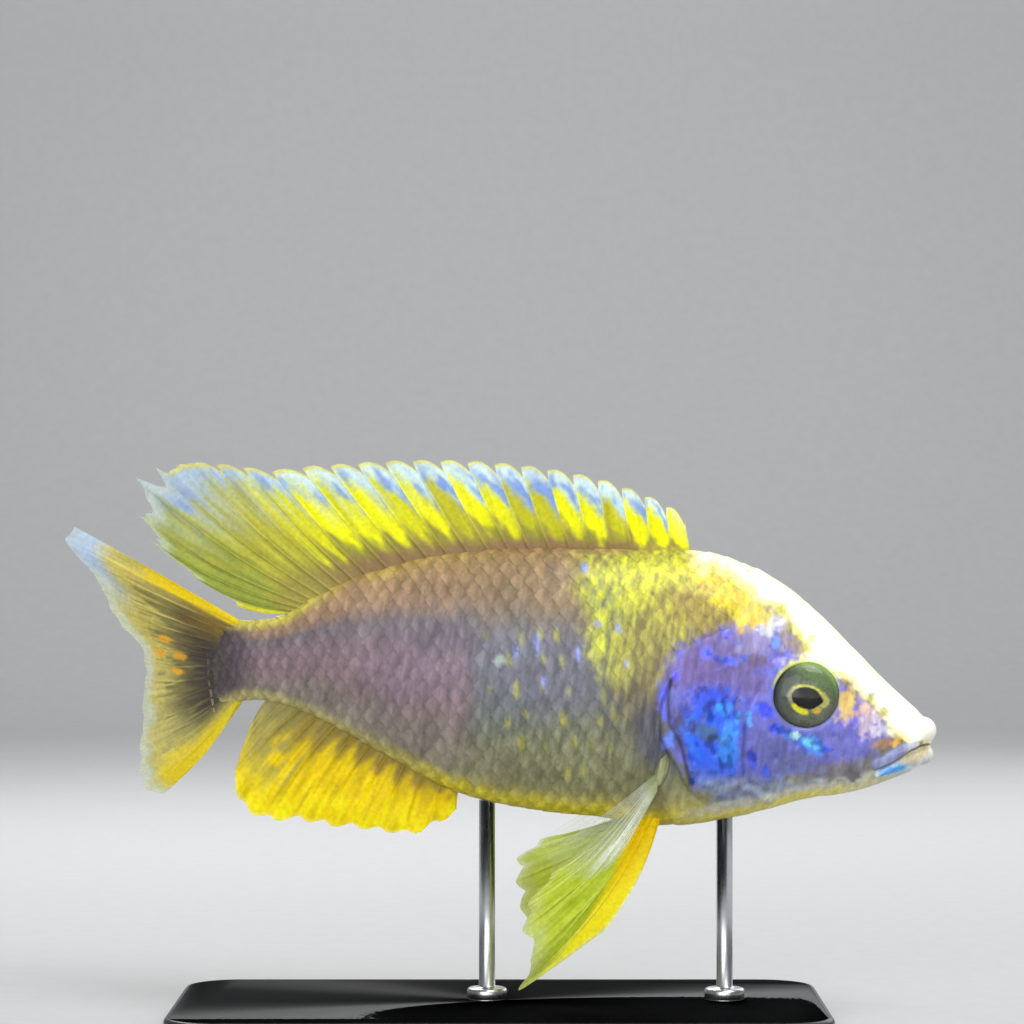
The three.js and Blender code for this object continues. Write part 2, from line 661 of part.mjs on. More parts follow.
place("head", headSolid(), finish.head);
place("lower_jaw", largest(body.add(lip(LOWER_LIP)).intersect(jawRegion(0))), finish.jaw);
place("trunk", largest(body.subtract(headRegion(GAP)).subtract(stalkRegion(GAP))), finish.trunk);
place("tail_stalk", largest(body.intersect(stalkRegion(0))), finish.stalk);
place("dorsal_fin", dorsalFin(), finish.yellowFin);
place("anal_fin", analFin(), finish.yellowFin);
place("caudal_fin", caudalFin(), finish.tailFin);
for (const [name, sign] of Object.entries(side)) {
  place(`gill_cover_${name}`, largest(gillCover(sign)), finish.gillCover);
  place(`eye_${name}`, eyeSolid(sign, 0), finish.eye);
  place(`pelvic_fin_${name}`, pelvicFin(name), finish.yellowFin);
  place(`pectoral_fin_${name}`, pectoralFin(name), finish.clearFin);
}
place("stand_base", standBase(), finish.base);
place("stand_rod_front", standRod(ROD.frontX), finish.rod);
place("stand_rod_rear", standRod(ROD.rearX), finish.rod);

export default group;
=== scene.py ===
# %% [markdown]
# # A male peacock cichlid, as a museum would show it
#
# This lesson dresses a solid model of a fish, 140 mm long, with everything that the eye reads as alive:
# a skin with lips and gill covers, more than a thousand overlapping scales, thin fins on
# branching rays, and wet eyes with a golden ring. The solid model comes first and sets every size.
# The cells below are worked in millimetres, as a model maker would, and turned to metres when a mesh is made.

# %% Load the solid model and keep its size
import math

import bpy
import numpy as np
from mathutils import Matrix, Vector


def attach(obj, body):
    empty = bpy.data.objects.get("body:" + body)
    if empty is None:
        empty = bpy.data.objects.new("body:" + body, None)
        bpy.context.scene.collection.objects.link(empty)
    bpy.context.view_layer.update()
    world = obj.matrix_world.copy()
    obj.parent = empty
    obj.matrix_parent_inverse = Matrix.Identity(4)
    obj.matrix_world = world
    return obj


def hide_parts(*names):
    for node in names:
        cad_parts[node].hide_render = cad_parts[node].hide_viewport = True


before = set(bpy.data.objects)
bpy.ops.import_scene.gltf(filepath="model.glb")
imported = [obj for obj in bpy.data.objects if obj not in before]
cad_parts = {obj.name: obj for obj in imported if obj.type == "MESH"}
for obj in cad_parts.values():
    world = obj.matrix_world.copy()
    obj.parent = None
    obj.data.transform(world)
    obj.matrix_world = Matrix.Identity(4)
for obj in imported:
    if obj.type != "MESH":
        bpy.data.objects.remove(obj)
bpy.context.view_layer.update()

# %% [markdown]
# ## Small tools for making meshes
#
# Every piece of this fish is a sheet or a skin that follows a formula, so the handiest way to make it is
# a grid of points worked out with numpy and handed to Blender in one go. Beside its points, a mesh carries
# named values at each point, such as its colour. Shaders read those by name with an Attribute node.

# %% Curves and ramps
def smooth_line(points):
    """A smooth curve through a few (place, value) points, read at any place."""
    places, values = np.array(sorted(points), float).T
    slopes = np.gradient(values, places)
    slopes[1:-1] = (values[2:] - values[:-2]) / (places[2:] - places[:-2])

    def read(place):
        place = np.clip(place, places[0], places[-1])
        i = np.clip(np.searchsorted(places, place) - 1, 0, len(places) - 2)
        width = places[i + 1] - places[i]
        t = (place - places[i]) / width
        start = (2 * t**3 - 3 * t**2 + 1) * values[i] + (t**3 - 2 * t**2 + t) * width * slopes[i]
        end = (3 * t**2 - 2 * t**3) * values[i + 1] + (t**3 - t**2) * width * slopes[i + 1]
        return start + end

    return read


def ease(value, low, high):
    """0 below low, 1 above high and a smooth ramp between them; high may be the smaller one."""
    t = np.clip((value - low) / (high - low), 0, 1)
    return t * t * (3 - 2 * t)


def mix(first, second, share):
    """Each point's blend of two values or colours."""
    first, second, share = (np.asarray(part, float) for part in (first, second, share))
    colours = first.shape[-1:] == (3,) or second.shape[-1:] == (3,)
    if colours or max(first.ndim, second.ndim) > share.ndim:
        share = share[..., None]
    return first * (1 - share) + second * share


def ridge(distance, middle, width):
    """1 where a distance has its middle value, falling smoothly to 0 past the width on both sides."""
    return np.exp(-(((distance - middle) / width) ** 2))


print("a quarter up the ramp, ease gives", float(ease(0.25, 0, 1)))

# %% Making a mesh and settling it on the model
MM = 0.001


def make_mesh(name, points_mm, faces, colours=None, values=None, bake_map=None, crease=None):
    """A mesh object from points in millimetres, with its named colours and values and its bake map.

    The faces are a list of arrays, and all faces of one array have the same number of corners.
    Edges that turn by more degrees than the crease stay sharp.
    """
    mesh = bpy.data.meshes.new(name)
    points = np.asarray(points_mm, float)
    # The sign of the volume tells whether the faces are wound inside out
    first = points[faces[0]]
    volume = np.sum(np.cross(first[:, 1] - first[:, 0], first[:, 2] - first[:, 0]) * first[:, 0])
    volume += np.sum(np.cross(first[:, 2] - first[:, 0], first[:, -1] - first[:, 0]) * first[:, 0])
    if volume < 0:
        faces = [array[:, ::-1] for array in faces]
    corners = np.concatenate([array.ravel() for array in faces]).astype(np.int32)
    sizes = np.concatenate([np.full(len(array), array.shape[1]) for array in faces])
    mesh.vertices.add(len(points))
    mesh.vertices.foreach_set("co", (points * MM).astype(np.float32).ravel())
    mesh.loops.add(len(corners))
    mesh.loops.foreach_set("vertex_index", corners)
    mesh.polygons.add(len(sizes))
    starts = np.concatenate([[0], np.cumsum(sizes)[:-1]]).astype(np.int32)
    mesh.polygons.foreach_set("loop_start", starts)
    mesh.update(calc_edges=True)
    mesh.validate()
    mesh.shade_smooth()
    if crease:
        mesh.set_sharp_from_angle(angle=math.radians(crease))
    opaque = np.ones((len(points), 1))
    for key, colour in (colours or {}).items():
        layer = mesh.attributes.new(key, "FLOAT_COLOR", "POINT")
        rows = np.hstack([np.clip(colour, 0, 1).reshape(-1, 3), opaque])
        layer.data.foreach_set("color", rows.astype(np.float32).ravel())
    for key, value in (values or {}).items():
        layer = mesh.attributes.new(key, "FLOAT", "POINT")
        layer.data.foreach_set("value", np.asarray(value, np.float32).ravel())
    if bake_map is not None:
        uv = mesh.uv_layers.new(name="OFBake")
        vertex_of_corner = np.empty(len(mesh.loops), np.int32)
        mesh.loops.foreach_get("vertex_index", vertex_of_corner)
        uv.data.foreach_set("uv", np.asarray(bake_map, np.float32)[vertex_of_corner].ravel())
    piece = bpy.data.objects.new(name, mesh)
    bpy.context.scene.collection.objects.link(piece)
    return piece


def settle(piece, slot, material, *nodes):
    """Gives a piece its material, hangs it on the model and hides the solids it stands for."""
    piece.data.materials.clear()
    piece.data.materials.append(material)
    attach(piece, "root")
    if nodes:
        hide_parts(*nodes)
    triangles = sum(len(face.vertices) - 2 for face in piece.data.polygons)
    print(f"{piece.name}: {triangles} triangles")
    return piece


# %% Faces of grids, tubes and plates
def grid_faces(columns, rows, ring=False):
    """Four-sided faces over a grid of points stored column by column. In a ring each column closes."""
    c, r = np.meshgrid(np.arange(columns - 1), np.arange(rows if ring else rows - 1), indexing="ij")
    above = (r + 1) % rows
    corners = [c * rows + r, (c + 1) * rows + r, (c + 1) * rows + above, c * rows + above]
    return np.stack(corners, -1).reshape(-1, 4)


def tube_faces(rings, count):
    """Faces of a closed tube from rings of equal count, with a flat cap at each end."""
    ring = np.arange(count)
    return [grid_faces(rings, count, ring=True), ring[None, ::-1], ring[None] + (rings - 1) * count]


def plate_faces(columns, rows):
    """Faces of a thin closed plate: the points of its upper grid come first, then those of its lower one."""
    cells = columns * rows
    upper = grid_faces(columns, rows)
    grid = np.arange(cells).reshape(columns, rows)
    edge = np.concatenate([grid[:, 0], grid[-1, 1:], grid[-2::-1, -1], grid[0, -2:0:-1]])
    after = np.roll(edge, -1)
    wall = np.stack([edge, edge + cells, after + cells, after], -1)
    return np.concatenate([upper, upper[:, ::-1] + cells, wall])


print("one cell of a thin plate has", len(plate_faces(2, 2)), "faces")

# %% [markdown]
# ## The form of the body
#
# Seen from the side, a fish is a back line and a belly line; seen from above it is a width that swells
# behind the gills and thins towards the tail. These few numbers follow the ones that shape the solid.
# A cross section is an egg with a narrow ridge on top, so two powers of a sine give it. The tail half bends
# gently to the fish's left, as it does in the photograph, and its skin runs out to a thin edge on the
# roots of the tail fin.

# %% Body lines, in millimetres
SNOUT_X, NOSE_ROUND_X, TAIL_ROOT_X, SKIN_END_X = 69.2, 65.5, -43.6, -47.6
BEND_START_X, TAIL_SWING, TAIL_CURL = 10, 8, 0.05
WIDEST_LEVEL, RIDGE_POWER, BELLY_POWER = 0.46, 1.18, 0.86
FIN_ROOT_X, FIN_OVERLAP = TAIL_ROOT_X + 1.4, 5.4

back_at = smooth_line([
    (65.5, 51.7), (60.9, 56.0), (54.5, 62.6), (48.1, 68.6), (41.7, 72.9), (35.3, 75.5), (30, 76.2),
    (16.1, 76.4), (3.3, 76.5), (-9.5, 75.4), (-22.3, 72.1), (-30.3, 68.4), (-35.1, 65.6), (-43.6, 64.9),
    (-47.6, 66.0),
])
belly_at = smooth_line([
    (65.5, 40.6), (57.7, 37.8), (48.1, 36.1), (38.5, 33.6), (25.7, 31.9), (16.1, 33.3), (6.5, 34.3),
    (-6, 36.9), (-15.9, 41.7), (-28.7, 48.6), (-35.1, 51.1), (-39.9, 51.6), (-43.6, 50.8), (-47.6, 48.6),
])
half_width_at = smooth_line([
    (65.5, 4.1), (60, 5.6), (54, 6.7), (48, 7.7), (40, 8.8), (30, 9.3), (18, 9.1), (6, 8.3),
    (-8, 6.8), (-20, 5.1), (-30, 3.7), (-38, 2.6), (-43.6, 1.6), (-47.6, 0.04),
])


def bend_at(x):
    """How far the middle of the fish lies to its left at x."""
    share = np.maximum(0, BEND_START_X - x) / (BEND_START_X - TAIL_ROOT_X)
    return TAIL_SWING * share**2


print("body depth at the gills:", round(float(back_at(26) - belly_at(26)), 1), "mm")

# %% The plain body
TINY = 1e-9


def onto_tail_fin(x, up):
    """How far back to front and sideways the skin's end moves, to lie on the roots of the tail fin.

    The sideways terms were fitted to the fan of tail rays, which curves less in its upper half.
    """
    into_fin = np.clip((FIN_ROOT_X - x) / FIN_OVERLAP, 0, 1)
    above = (up + np.sqrt(up**2 + 0.04)) / 2
    sideways = into_fin * (1.6 - 1.12 * into_fin - 2.0 * above + 0.35 * above**2)
    return 1.6 * into_fin * up**2, sideways


def body_point(station, turn):
    """A point of the plain body: station runs along x and round the snout, turn goes round from the back."""
    x = np.minimum(station, NOSE_ROUND_X)
    over = np.clip((station - NOSE_ROUND_X) / (SNOUT_X - NOSE_ROUND_X), 0, 1) * math.pi / 2
    back, belly, half = back_at(x), belly_at(x), half_width_at(x)
    middle = belly + WIDEST_LEVEL * (back - belly)
    up, out = np.cos(turn), np.sin(turn)
    reach = np.where(up > 0, back - middle, middle - belly)
    power = np.where(up > 0, RIDGE_POWER, BELLY_POWER)
    side = np.sign(out) * np.abs(out) ** power
    shown_x = x + (SNOUT_X - NOSE_ROUND_X) * np.sin(over) ** 2
    share = np.cos(over)
    forward, sideways = onto_tail_fin(x, up)
    swing = bend_at(x) + TAIL_CURL * np.maximum(0, TAIL_ROOT_X - x) ** 2 + sideways
    return np.stack([shown_x + forward, swing + half * side * share, middle + reach * up * share], -1)


def outward(points):
    """Unit normals of a grid of points, square to its two directions."""
    normal = np.cross(np.gradient(points, axis=0), np.gradient(points, axis=1))
    return normal / np.maximum(np.linalg.norm(normal, axis=-1, keepdims=True), TINY)


print("the side of the trunk:", np.round(body_point(20.0, 1.57), 1))

# %% Distances and outlines in side view
def distance_to(x, z, path):
    """The distance in side view from each place to a path of straight steps."""
    nearest = np.full(np.shape(x), np.inf)
    for (ax, az), (bx, bz) in zip(path[:-1], path[1:]):
        length = (bx - ax) ** 2 + (bz - az) ** 2
        t = np.clip(((x - ax) * (bx - ax) + (z - az) * (bz - az)) / max(length, TINY), 0, 1)
        nearest = np.minimum(nearest, np.hypot(x - ax - t * (bx - ax), z - az - t * (bz - az)))
    return nearest


def inside(x, z, loop):
    """True where a place in side view lies inside a closed outline."""
    hit = np.zeros(np.shape(x), bool)
    for (ax, az), (bx, bz) in zip(loop, loop[1:] + loop[:1]):
        if az != bz:
            crosses = (z < az) != (z < bz)
            hit ^= crosses & (x < ax + (z - az) * (bx - ax) / (bz - az))
    return hit


def rounded(points, count):
    """A closed, smooth outline through a few points."""
    ring = np.array(points, float)
    before, after, beyond = np.roll(ring, 1, 0), np.roll(ring, -1, 0), np.roll(ring, -2, 0)
    t = np.linspace(0, 1, count, endpoint=False)[:, None, None]
    curve = 0.5 * (
        2 * ring + (after - before) * t + (2 * before - 5 * ring + 4 * after - beyond) * t**2
        + (3 * ring - before - 3 * after + beyond) * t**3
    )
    return [tuple(point) for point in curve.transpose(1, 0, 2).reshape(-1, 2)]


print("from a place to a path:", float(distance_to(0, 3, [(-1, 0), (1, 0)])), "mm")

# %% [markdown]
# ## The relief of the head
#
# On the plain body the head's features are shallow: the gill cover stands out by less than a millimetre,
# with its rear edge free; a groove parts it from the cheek; the eye sits in a cup with a soft rim; each
# nostril is a small pit; and this family of fish has a row of sense pores along its cheek and jaw.
# A relief function that gives the height of the skin at any place in side view holds all of these, and
# the scales later lie on the same relief. Soft noise keeps it from being too smooth. It is read from a
# fixed table of random numbers, so the result is the same on each run.

# %% Soft noise
NOISE_CELLS, NOISE_SEED = 64, 16
# Where the clouds read the table, and how far each shift moves them
NOISE_START, NOISE_SHIFT = (17.3, 9.1), (5.7, 3.9)
noise_table = np.random.default_rng(NOISE_SEED).random((NOISE_CELLS, NOISE_CELLS))


def cloud(x, z, wide, tall, shift=0):
    """Soft random patches between 0 and 1, wide and tall millimetres across."""
    x = x / wide + NOISE_START[0] + NOISE_SHIFT[0] * shift
    z = z / tall + NOISE_START[1] + NOISE_SHIFT[1] * shift
    i, k = np.floor(x).astype(int), np.floor(z).astype(int)
    s, t = ease(x - i, 0, 1), ease(z - k, 0, 1)
    i0, i1, k0, k1 = i % NOISE_CELLS, (i + 1) % NOISE_CELLS, k % NOISE_CELLS, (k + 1) % NOISE_CELLS
    low = noise_table[i0, k0] * (1 - s) + noise_table[i1, k0] * s
    high = noise_table[i0, k1] * (1 - s) + noise_table[i1, k1] * s
    return low * (1 - t) + high * t


print("noise table:", NOISE_CELLS, "by", NOISE_CELLS)

# %% Features of the head
EYE_X, EYE_Z, EYE_RADIUS, EYE_DEPTH, EYE_BULGE = 48.4, 53.1, 5.6, 3.8, 0.82
EYE_OPENING = 5.22
LID_HEIGHT, CUP_DEPTH = 0.18, 3.2
NOSTRIL = (59.2, 53)
NOSTRIL_DEPTH, NOSTRIL_RIM = 0.6, 0.10
MOUTH_CORNER = (59.6, 41.1)
GILL_COVER = rounded([
    (39.6, 58.4), (34, 61), (28.8, 58), (25.6, 52.6), (25.2, 47), (27.6, 42.2), (30.4, 37.6),
    (35, 34.6), (39, 36.6), (40.2, 47.5),
], 6)
COVER_STEP, COVER_STEP_WIDTH = 0.66, 0.45
HOLLOW_BEHIND, HOLLOW_WIDTH = 0.42, 0.9
CHEEK_GROOVE = [(45.4, 41.8), (49, 39.8), (54, 39.4)]
COVER_HINGE = [(41.4, 54.6), (39.7, 51.6), (38.8, 47.5), (38.5, 42.6), (39.4, 39.2), (42.6, 37.5)]
MAXILLA = [(59.9, 41.8), (61.0, 42.5), (62.6, 43.5), (64.2, 44.3), (65.8, 44.8)]
mouth_line = smooth_line([
    (57.5, 41.0), (59.4, 41.2), (61, 41.7), (62.5, 42.3), (63.9, 43.2), (65, 44.1), (66.4, 44.8), (70, 45.1),
])
CHEEK_PORES = [
    (54.6, 49.2), (52.6, 46.6), (49.8, 45.3), (46.8, 45.4), (57.4, 49.6), (43.6, 43.2), (46, 39.6),
    (50, 38.7), (54.4, 38.9), (43.4, 47.6), (43.6, 52), (56.8, 46.2), (60.3, 47.4),
]
PORE_RADIUS, PORE_DEPTH = 0.5, 0.26
UNEVEN_SKIN = 0.16
print("gill cover outline:", len(GILL_COVER), "points; sense pores:", len(CHEEK_PORES), "a side")


# %% Relief of the head
def pit(x, z, centre, radius):
    """1 at the centre of a round hollow, falling smoothly to 0 past its rim."""
    return np.exp(-((x - centre[0]) ** 2 + (z - centre[1]) ** 2) / radius**2)


def relief(x, z):
    """How far the skin stands above the plain body, in side view."""
    cover_edge = distance_to(x, z, GILL_COVER + GILL_COVER[:1])
    on_cover = inside(x, z, GILL_COVER)
    free_edge = ease(x, 37, 30.5) * ease(z, 58.5, 53) * ease(z, 35.4, 40)
    plate = COVER_STEP * ease(cover_edge, 0, COVER_STEP_WIDTH) * free_edge
    behind = -HOLLOW_BEHIND * ridge(cover_edge, 0, HOLLOW_WIDTH) * free_edge
    height = np.where(on_cover, plate, behind)
    hinge = distance_to(x, z, COVER_HINGE)
    height = height - 0.24 * ridge(hinge, 0, 0.4) + 0.14 * ridge(hinge, 1.2, 0.7)
    height = height - 0.12 * ridge(distance_to(x, z, CHEEK_GROOVE), 0, 0.8)
    uneven = cloud(x, z, 2.4, 2.0, 5) + 0.5 * cloud(x, z, 1.0, 1.2, 6) - 0.75
    height = height + UNEVEN_SKIN * uneven * ease(x, 27, 32) * ease(x, 60, 57)
    for pore in CHEEK_PORES:
        height = height - PORE_DEPTH * pit(x, z, pore, PORE_RADIUS)
    height = height - NOSTRIL_DEPTH * pit(x, z, NOSTRIL, 0.4) + NOSTRIL_RIM * pit(x, z, NOSTRIL, 1.0)
    from_eye = np.hypot(x - EYE_X, z - EYE_Z)
    lid = LID_HEIGHT * ridge(from_eye, EYE_OPENING + 0.6, 0.7)
    cup = -CUP_DEPTH * ease(from_eye, EYE_OPENING, EYE_OPENING - 0.75)
    return height + lid + cup


print("the gill cover stands out by", relief(np.array([28.0]), np.array([50.0])).round(2), "mm")

# %% Places along a path
def lengths_along(points):
    """The length of a path up to each of its points."""
    return np.r_[0, np.cumsum(np.linalg.norm(np.diff(points, axis=0), axis=1))]


def path_points(corners, count):
    """A smooth open path through a few points, as a list of close points."""
    corners = np.array(corners, float)
    places = lengths_along(corners)
    even = np.linspace(0, places[-1], count)
    return np.stack([smooth_line(list(zip(places, column)))(even) for column in corners.T], -1)


def flank_at(x, z):
    """How far the plain body's skin stands from the middle plane."""
    back, belly = back_at(x), belly_at(x)
    middle = belly + WIDEST_LEVEL * (back - belly)
    height = np.where(z > middle, (z - middle) / (back - middle), (middle - z) / (middle - belly))
    level = np.sqrt(np.maximum(0, 1 - height**2))
    return half_width_at(x) * level ** np.where(z > middle, RIDGE_POWER, BELLY_POWER)


print("half width at the eye:", round(float(flank_at(EYE_X, EYE_Z)), 1), "mm")

# %% Lips and mouth
NEAR_THE_MOUTH = 57
# A lip is a bent sausage: the front of its middle line, its lift off the slit, and its two radii
UPPER_LIP = {"front": (67.75, 47.25), "lift": 0.9, "front_radius": 2.15, "corner_radius": 0.3}
LOWER_LIP = {"front": (67.9, 43.4), "lift": -0.9, "front_radius": 1.55, "corner_radius": 0.5}
LIP_STEPS = 61
SLIT_DEPTH, PLATE_HEIGHT = 0.5, 0.36


def lip_path(lip):
    """The middle line of a lip, from the right corner of the mouth round to the left one."""
    (front_x, front_z), lift = lip["front"], lip["lift"]
    corner_x, corner_z = MOUTH_CORNER
    middle_x = (front_x + corner_x) / 2 + 1
    middle_z = float(mouth_line(middle_x)) + 1.25 * lift
    half = [
        (corner_x + 0.3, -float(flank_at(corner_x, corner_z)), corner_z + lift),
        (middle_x, -float(flank_at(middle_x, middle_z)) + 0.7, middle_z),
        (front_x - 1, -1.6, front_z - 0.2),
    ]
    other_half = [(x, -y, z) for x, y, z in reversed(half)]
    return path_points([*half, (front_x, 0, front_z), *other_half], LIP_STEPS)


def pushed_by_lip(points, normals, lip):
    """How far each point moves out along its normal to lie on a lip."""
    path = lip_path(lip)
    swell = np.sin(math.pi * np.linspace(0, 1, LIP_STEPS)) ** 2.4
    radius = lip["corner_radius"] + (lip["front_radius"] - lip["corner_radius"]) * swell
    apart = points[:, None, :] - path[None, :, :]
    nearest = np.argmin(np.linalg.norm(apart, axis=-1) - radius, axis=1)
    away = points - path[nearest]
    along = np.sum(away * normals, -1)
    room = radius[nearest] ** 2 - np.sum(away * away, -1) + along**2
    push = np.sqrt(np.maximum(room, 0)) - along
    return np.where(room > 0, np.clip(push, 0, 3), 0)


def mouth_shaped(points, normals):
    """The lips, the slit between them and the upper jaw's side plate, at points near the mouth."""
    x, z = points[:, 0], points[:, 2]
    lips = np.maximum(pushed_by_lip(points, normals, UPPER_LIP), pushed_by_lip(points, normals, LOWER_LIP))
    ahead_of_corner = ease(x, MOUTH_CORNER[0] - 0.9, MOUTH_CORNER[0] + 0.9)
    slit = np.exp(-(((z - mouth_line(x)) / 0.16) ** 4)) * ahead_of_corner
    plate = distance_to(x, z, MAXILLA)
    moved = lips + PLATE_HEIGHT * np.exp(-((plate / 0.85) ** 2.4))
    moved = moved - 0.08 * ridge(plate, 1.4, 0.4) * ease(x, 66, 64)
    return points + normals * (moved * (1 - slit) - SLIT_DEPTH * slit)[:, None]


print("width of the upper lip:", round(2 * float(lip_path(UPPER_LIP)[-1, 1]), 1), "mm")

# %% [markdown]
# ## Colour, kept as numbers
#
# A painted cast is coloured in washes: a ground colour, then softer and smaller patches over it. The same
# order works in code. Each wash has a place in side view, a soft edge broken up by a little noise, and a
# colour. The one paint function below is asked by the skin and by every scale, so both carry the same
# markings and no seam can show. Beside its two colours it gives a shine, which later turns skin into the
# metallic blue of the cheeks.

# %% Painting tools
def blob(x, z, centre, wide, tall, tilt=0, soft=0.35, ragged=0.3, shift=0):
    """1 inside a tilted oval patch, 0 outside, with a soft and ragged edge."""
    turn = math.radians(tilt)
    along = (x - centre[0]) * math.cos(turn) + (z - centre[1]) * math.sin(turn)
    across = (z - centre[1]) * math.cos(turn) - (x - centre[0]) * math.sin(turn)
    reach = np.hypot(along / wide, across / tall)
    reach = reach + ragged * (cloud(x, z, 0.9, 1.1, shift) - 0.5)
    reach = reach + ragged * (cloud(x, z, 0.4, 0.5, shift) - 0.5)
    return ease(reach, 1 + soft, 1 - soft)


def zone(x, z, loop, soft, ragged=0, shift=0):
    """1 inside a closed outline, 0 outside, over an edge of soft millimetres."""
    depth = distance_to(x, z, loop + loop[:1]) * np.where(inside(x, z, loop), 1, -1)
    depth = depth + ragged * (cloud(x, z, 1.6, 2.2, shift) + cloud(x, z, 0.6, 0.8, shift) - 1)
    return ease(depth, -soft, soft)


def stops(value, table):
    """A colour read from a short list of (place, colour) stops."""
    places = [place for place, _ in table]
    return np.stack([np.interp(value, places, [colour[k] for _, colour in table]) for k in range(3)], -1)


print("paint in the middle of a patch:", float(blob(0, 0, (0, 0), 1, 1)))

# %% [markdown]
# ## The fish's own colours
#
# Light comes from above in its tank, so the forehead burns out to a creamy white. Behind it the shoulder is
# lemon yellow broken into upright streaks. The flank is a smoky mauve under a brown back, and the side of the
# head is deep violet blue with patches that shine like foil. The belly line is a thin band of gold.
#
# At every place the paint is a ground colour with fine streaks of a second colour over it. So each wash may
# set four things: the ground, the streak colour, how much of the ground the streaks cover, and how much
# they shine. All colours are plain light values, from 0 to 1 for red, green and blue.

# %% Colours of the flank from belly to back
GROUND_MIDDLE = [
    (0.0, (0.72, 0.62, 0.12)), (0.05, (0.56, 0.49, 0.12)), (0.11, (0.27, 0.26, 0.12)),
    (0.25, (0.15, 0.155, 0.09)), (0.45, (0.14, 0.145, 0.16)), (0.64, (0.15, 0.145, 0.17)),
    (0.72, (0.20, 0.17, 0.14)), (0.82, (0.28, 0.20, 0.12)), (1.0, (0.32, 0.21, 0.09)),
]
GROUND_REAR = [
    (0.0, (0.56, 0.50, 0.17)), (0.05, (0.36, 0.33, 0.18)), (0.13, (0.25, 0.215, 0.175)),
    (0.4, (0.22, 0.15, 0.165)), (0.6, (0.20, 0.14, 0.165)), (0.71, (0.17, 0.145, 0.16)),
    (0.80, (0.32, 0.21, 0.14)), (0.92, (0.38, 0.25, 0.13)), (1.0, (0.42, 0.30, 0.08)),
]
print("flank colours:", len(GROUND_MIDDLE), "in the middle,", len(GROUND_REAR), "behind")

# %% Outlines of the markings
BLAZE_EDGE = [
    (30.1, 76.3), (30.6, 73.8), (32.2, 72.5), (34.1, 73.3), (36.7, 71.7), (39.1, 69.8), (40.7, 67.8),
    (43.1, 66.7), (45.2, 66), (46.2, 63.5), (47.9, 61.6), (48.9, 60.4), (48.2, 59.5), (45.9, 58.5),
    (44.6, 57), (48.4, 56), (53.5, 56.5), (56, 55.4), (57.3, 53.3), (58.9, 52.2), (59.6, 50.6), (61.2, 50),
    (61.6, 48.4), (62.6, 47.2), (64.2, 46.4), (66.0, 45.3), (69.4, 44.9),
]
BLAZE = BLAZE_EDGE + [(80, 44.9), (80, 90), (30, 90)]
BLUE_HEAD = [
    (27.5, 59.5), (31.8, 61.7), (35.8, 63.8), (38.3, 65.3), (39.1, 67), (41.3, 65), (44.5, 64.9),
    (46.7, 62.7), (48.6, 60.2), (55.8, 54), (59.4, 49.2), (61.2, 46.5), (59.0, 43.4), (55.8, 42), (51.4, 41),
    (46.7, 40.2), (39.1, 39.2), (31.1, 39.6), (29, 41.8), (27, 46.2), (25.6, 50.8), (25.9, 54.8),
]
THROAT = [
    (31.5, 40.4), (34, 40), (41, 39.6), (49, 40.6), (57, 42.4), (60, 41), (57, 37), (44, 34.6), (35, 33.6),
]
SHOULDER = [
    (13.2, 75.5), (30, 77), (33, 73), (37, 70), (38.5, 66), (33, 63), (28, 60.5), (22.4, 57.5), (18.6, 55.5),
    (16, 58.5), (14.6, 64), (12.6, 70),
]
ORANGE_FRINGE = [(30.4, 75), (38, 72), (42, 67.6), (43, 65), (40, 63.6), (36, 66), (31.6, 69.4)]
print("outline of the blue mask:", len(BLUE_HEAD), "points")

# %% Washes and patches
# Broad washes: place, half width, half height, tilt, softness, raggedness, strength, ground, streaks, cover
FLANK_WASHES = {
    "smoky band": ((-8, 62.4), 8, 2.6, 0, 0.5, 0.6, 0.55, (0.10, 0.085, 0.12), (0.20, 0.17, 0.23), None),
    "mauve": ((-13, 56), 8, 3.6, 0, 0.6, 0.5, 0.45, (0.20, 0.135, 0.19), (0.32, 0.23, 0.33), None),
    "slate": ((5, 56.5), 9, 6.5, 0, 0.6, 0.5, 0.55, (0.10, 0.10, 0.145), (0.21, 0.22, 0.31), None),
    "teal": ((0, 50), 4.2, 4.2, 0, 0.7, 0.6, 0.45, (0.10, 0.13, 0.13), (0.21, 0.26, 0.25), None),
    "olive": ((12, 43.5), 13, 5.5, 4, 0.6, 0.7, 0.55, (0.17, 0.175, 0.09), (0.37, 0.38, 0.21), None),
    "brown": ((23.2, 56.0), 5.0, 7.6, -12, 0.5, 0.6, 0.85, (0.13, 0.105, 0.04), (0.29, 0.25, 0.08), 0.42),
    "dusk": ((24.4, 46.4), 2.6, 6.0, 14, 0.5, 0.4, 0.9, (0.07, 0.07, 0.10), (0.16, 0.155, 0.20), 0.4),
}
SHOULDER_WASHES = {
    "grey gaps": ((17.2, 69.0), 3.4, 4.6, -12, 0.6, 0.8, 0.85, (0.20, 0.24, 0.17), (0.62, 0.66, 0.05), 0.42),
    "bright top": ((23.8, 71.4), 6.4, 4.0, 0, 0.6, 0.6, 0.9, (0.46, 0.46, 0.06), (0.90, 0.90, 0.04), 0.58),
}
NAPE_WASHES = {
    "lemon": ((16.2, 61.8), 2.4, 5.0, 4, 0.5, 0.8, 0.62, (0.24, 0.26, 0.09), (0.76, 0.80, 0.05), 0.52),
    "olive": ((31.6, 66.2), 6.6, 4.0, -24, 0.6, 0.7, 0.88, (0.28, 0.19, 0.05), (0.50, 0.38, 0.08), 0.5),
    "lower": ((25.6, 60.6), 6.0, 5.4, -30, 0.7, 0.7, 0.88, (0.25, 0.21, 0.07), (0.47, 0.42, 0.11), 0.45),
}
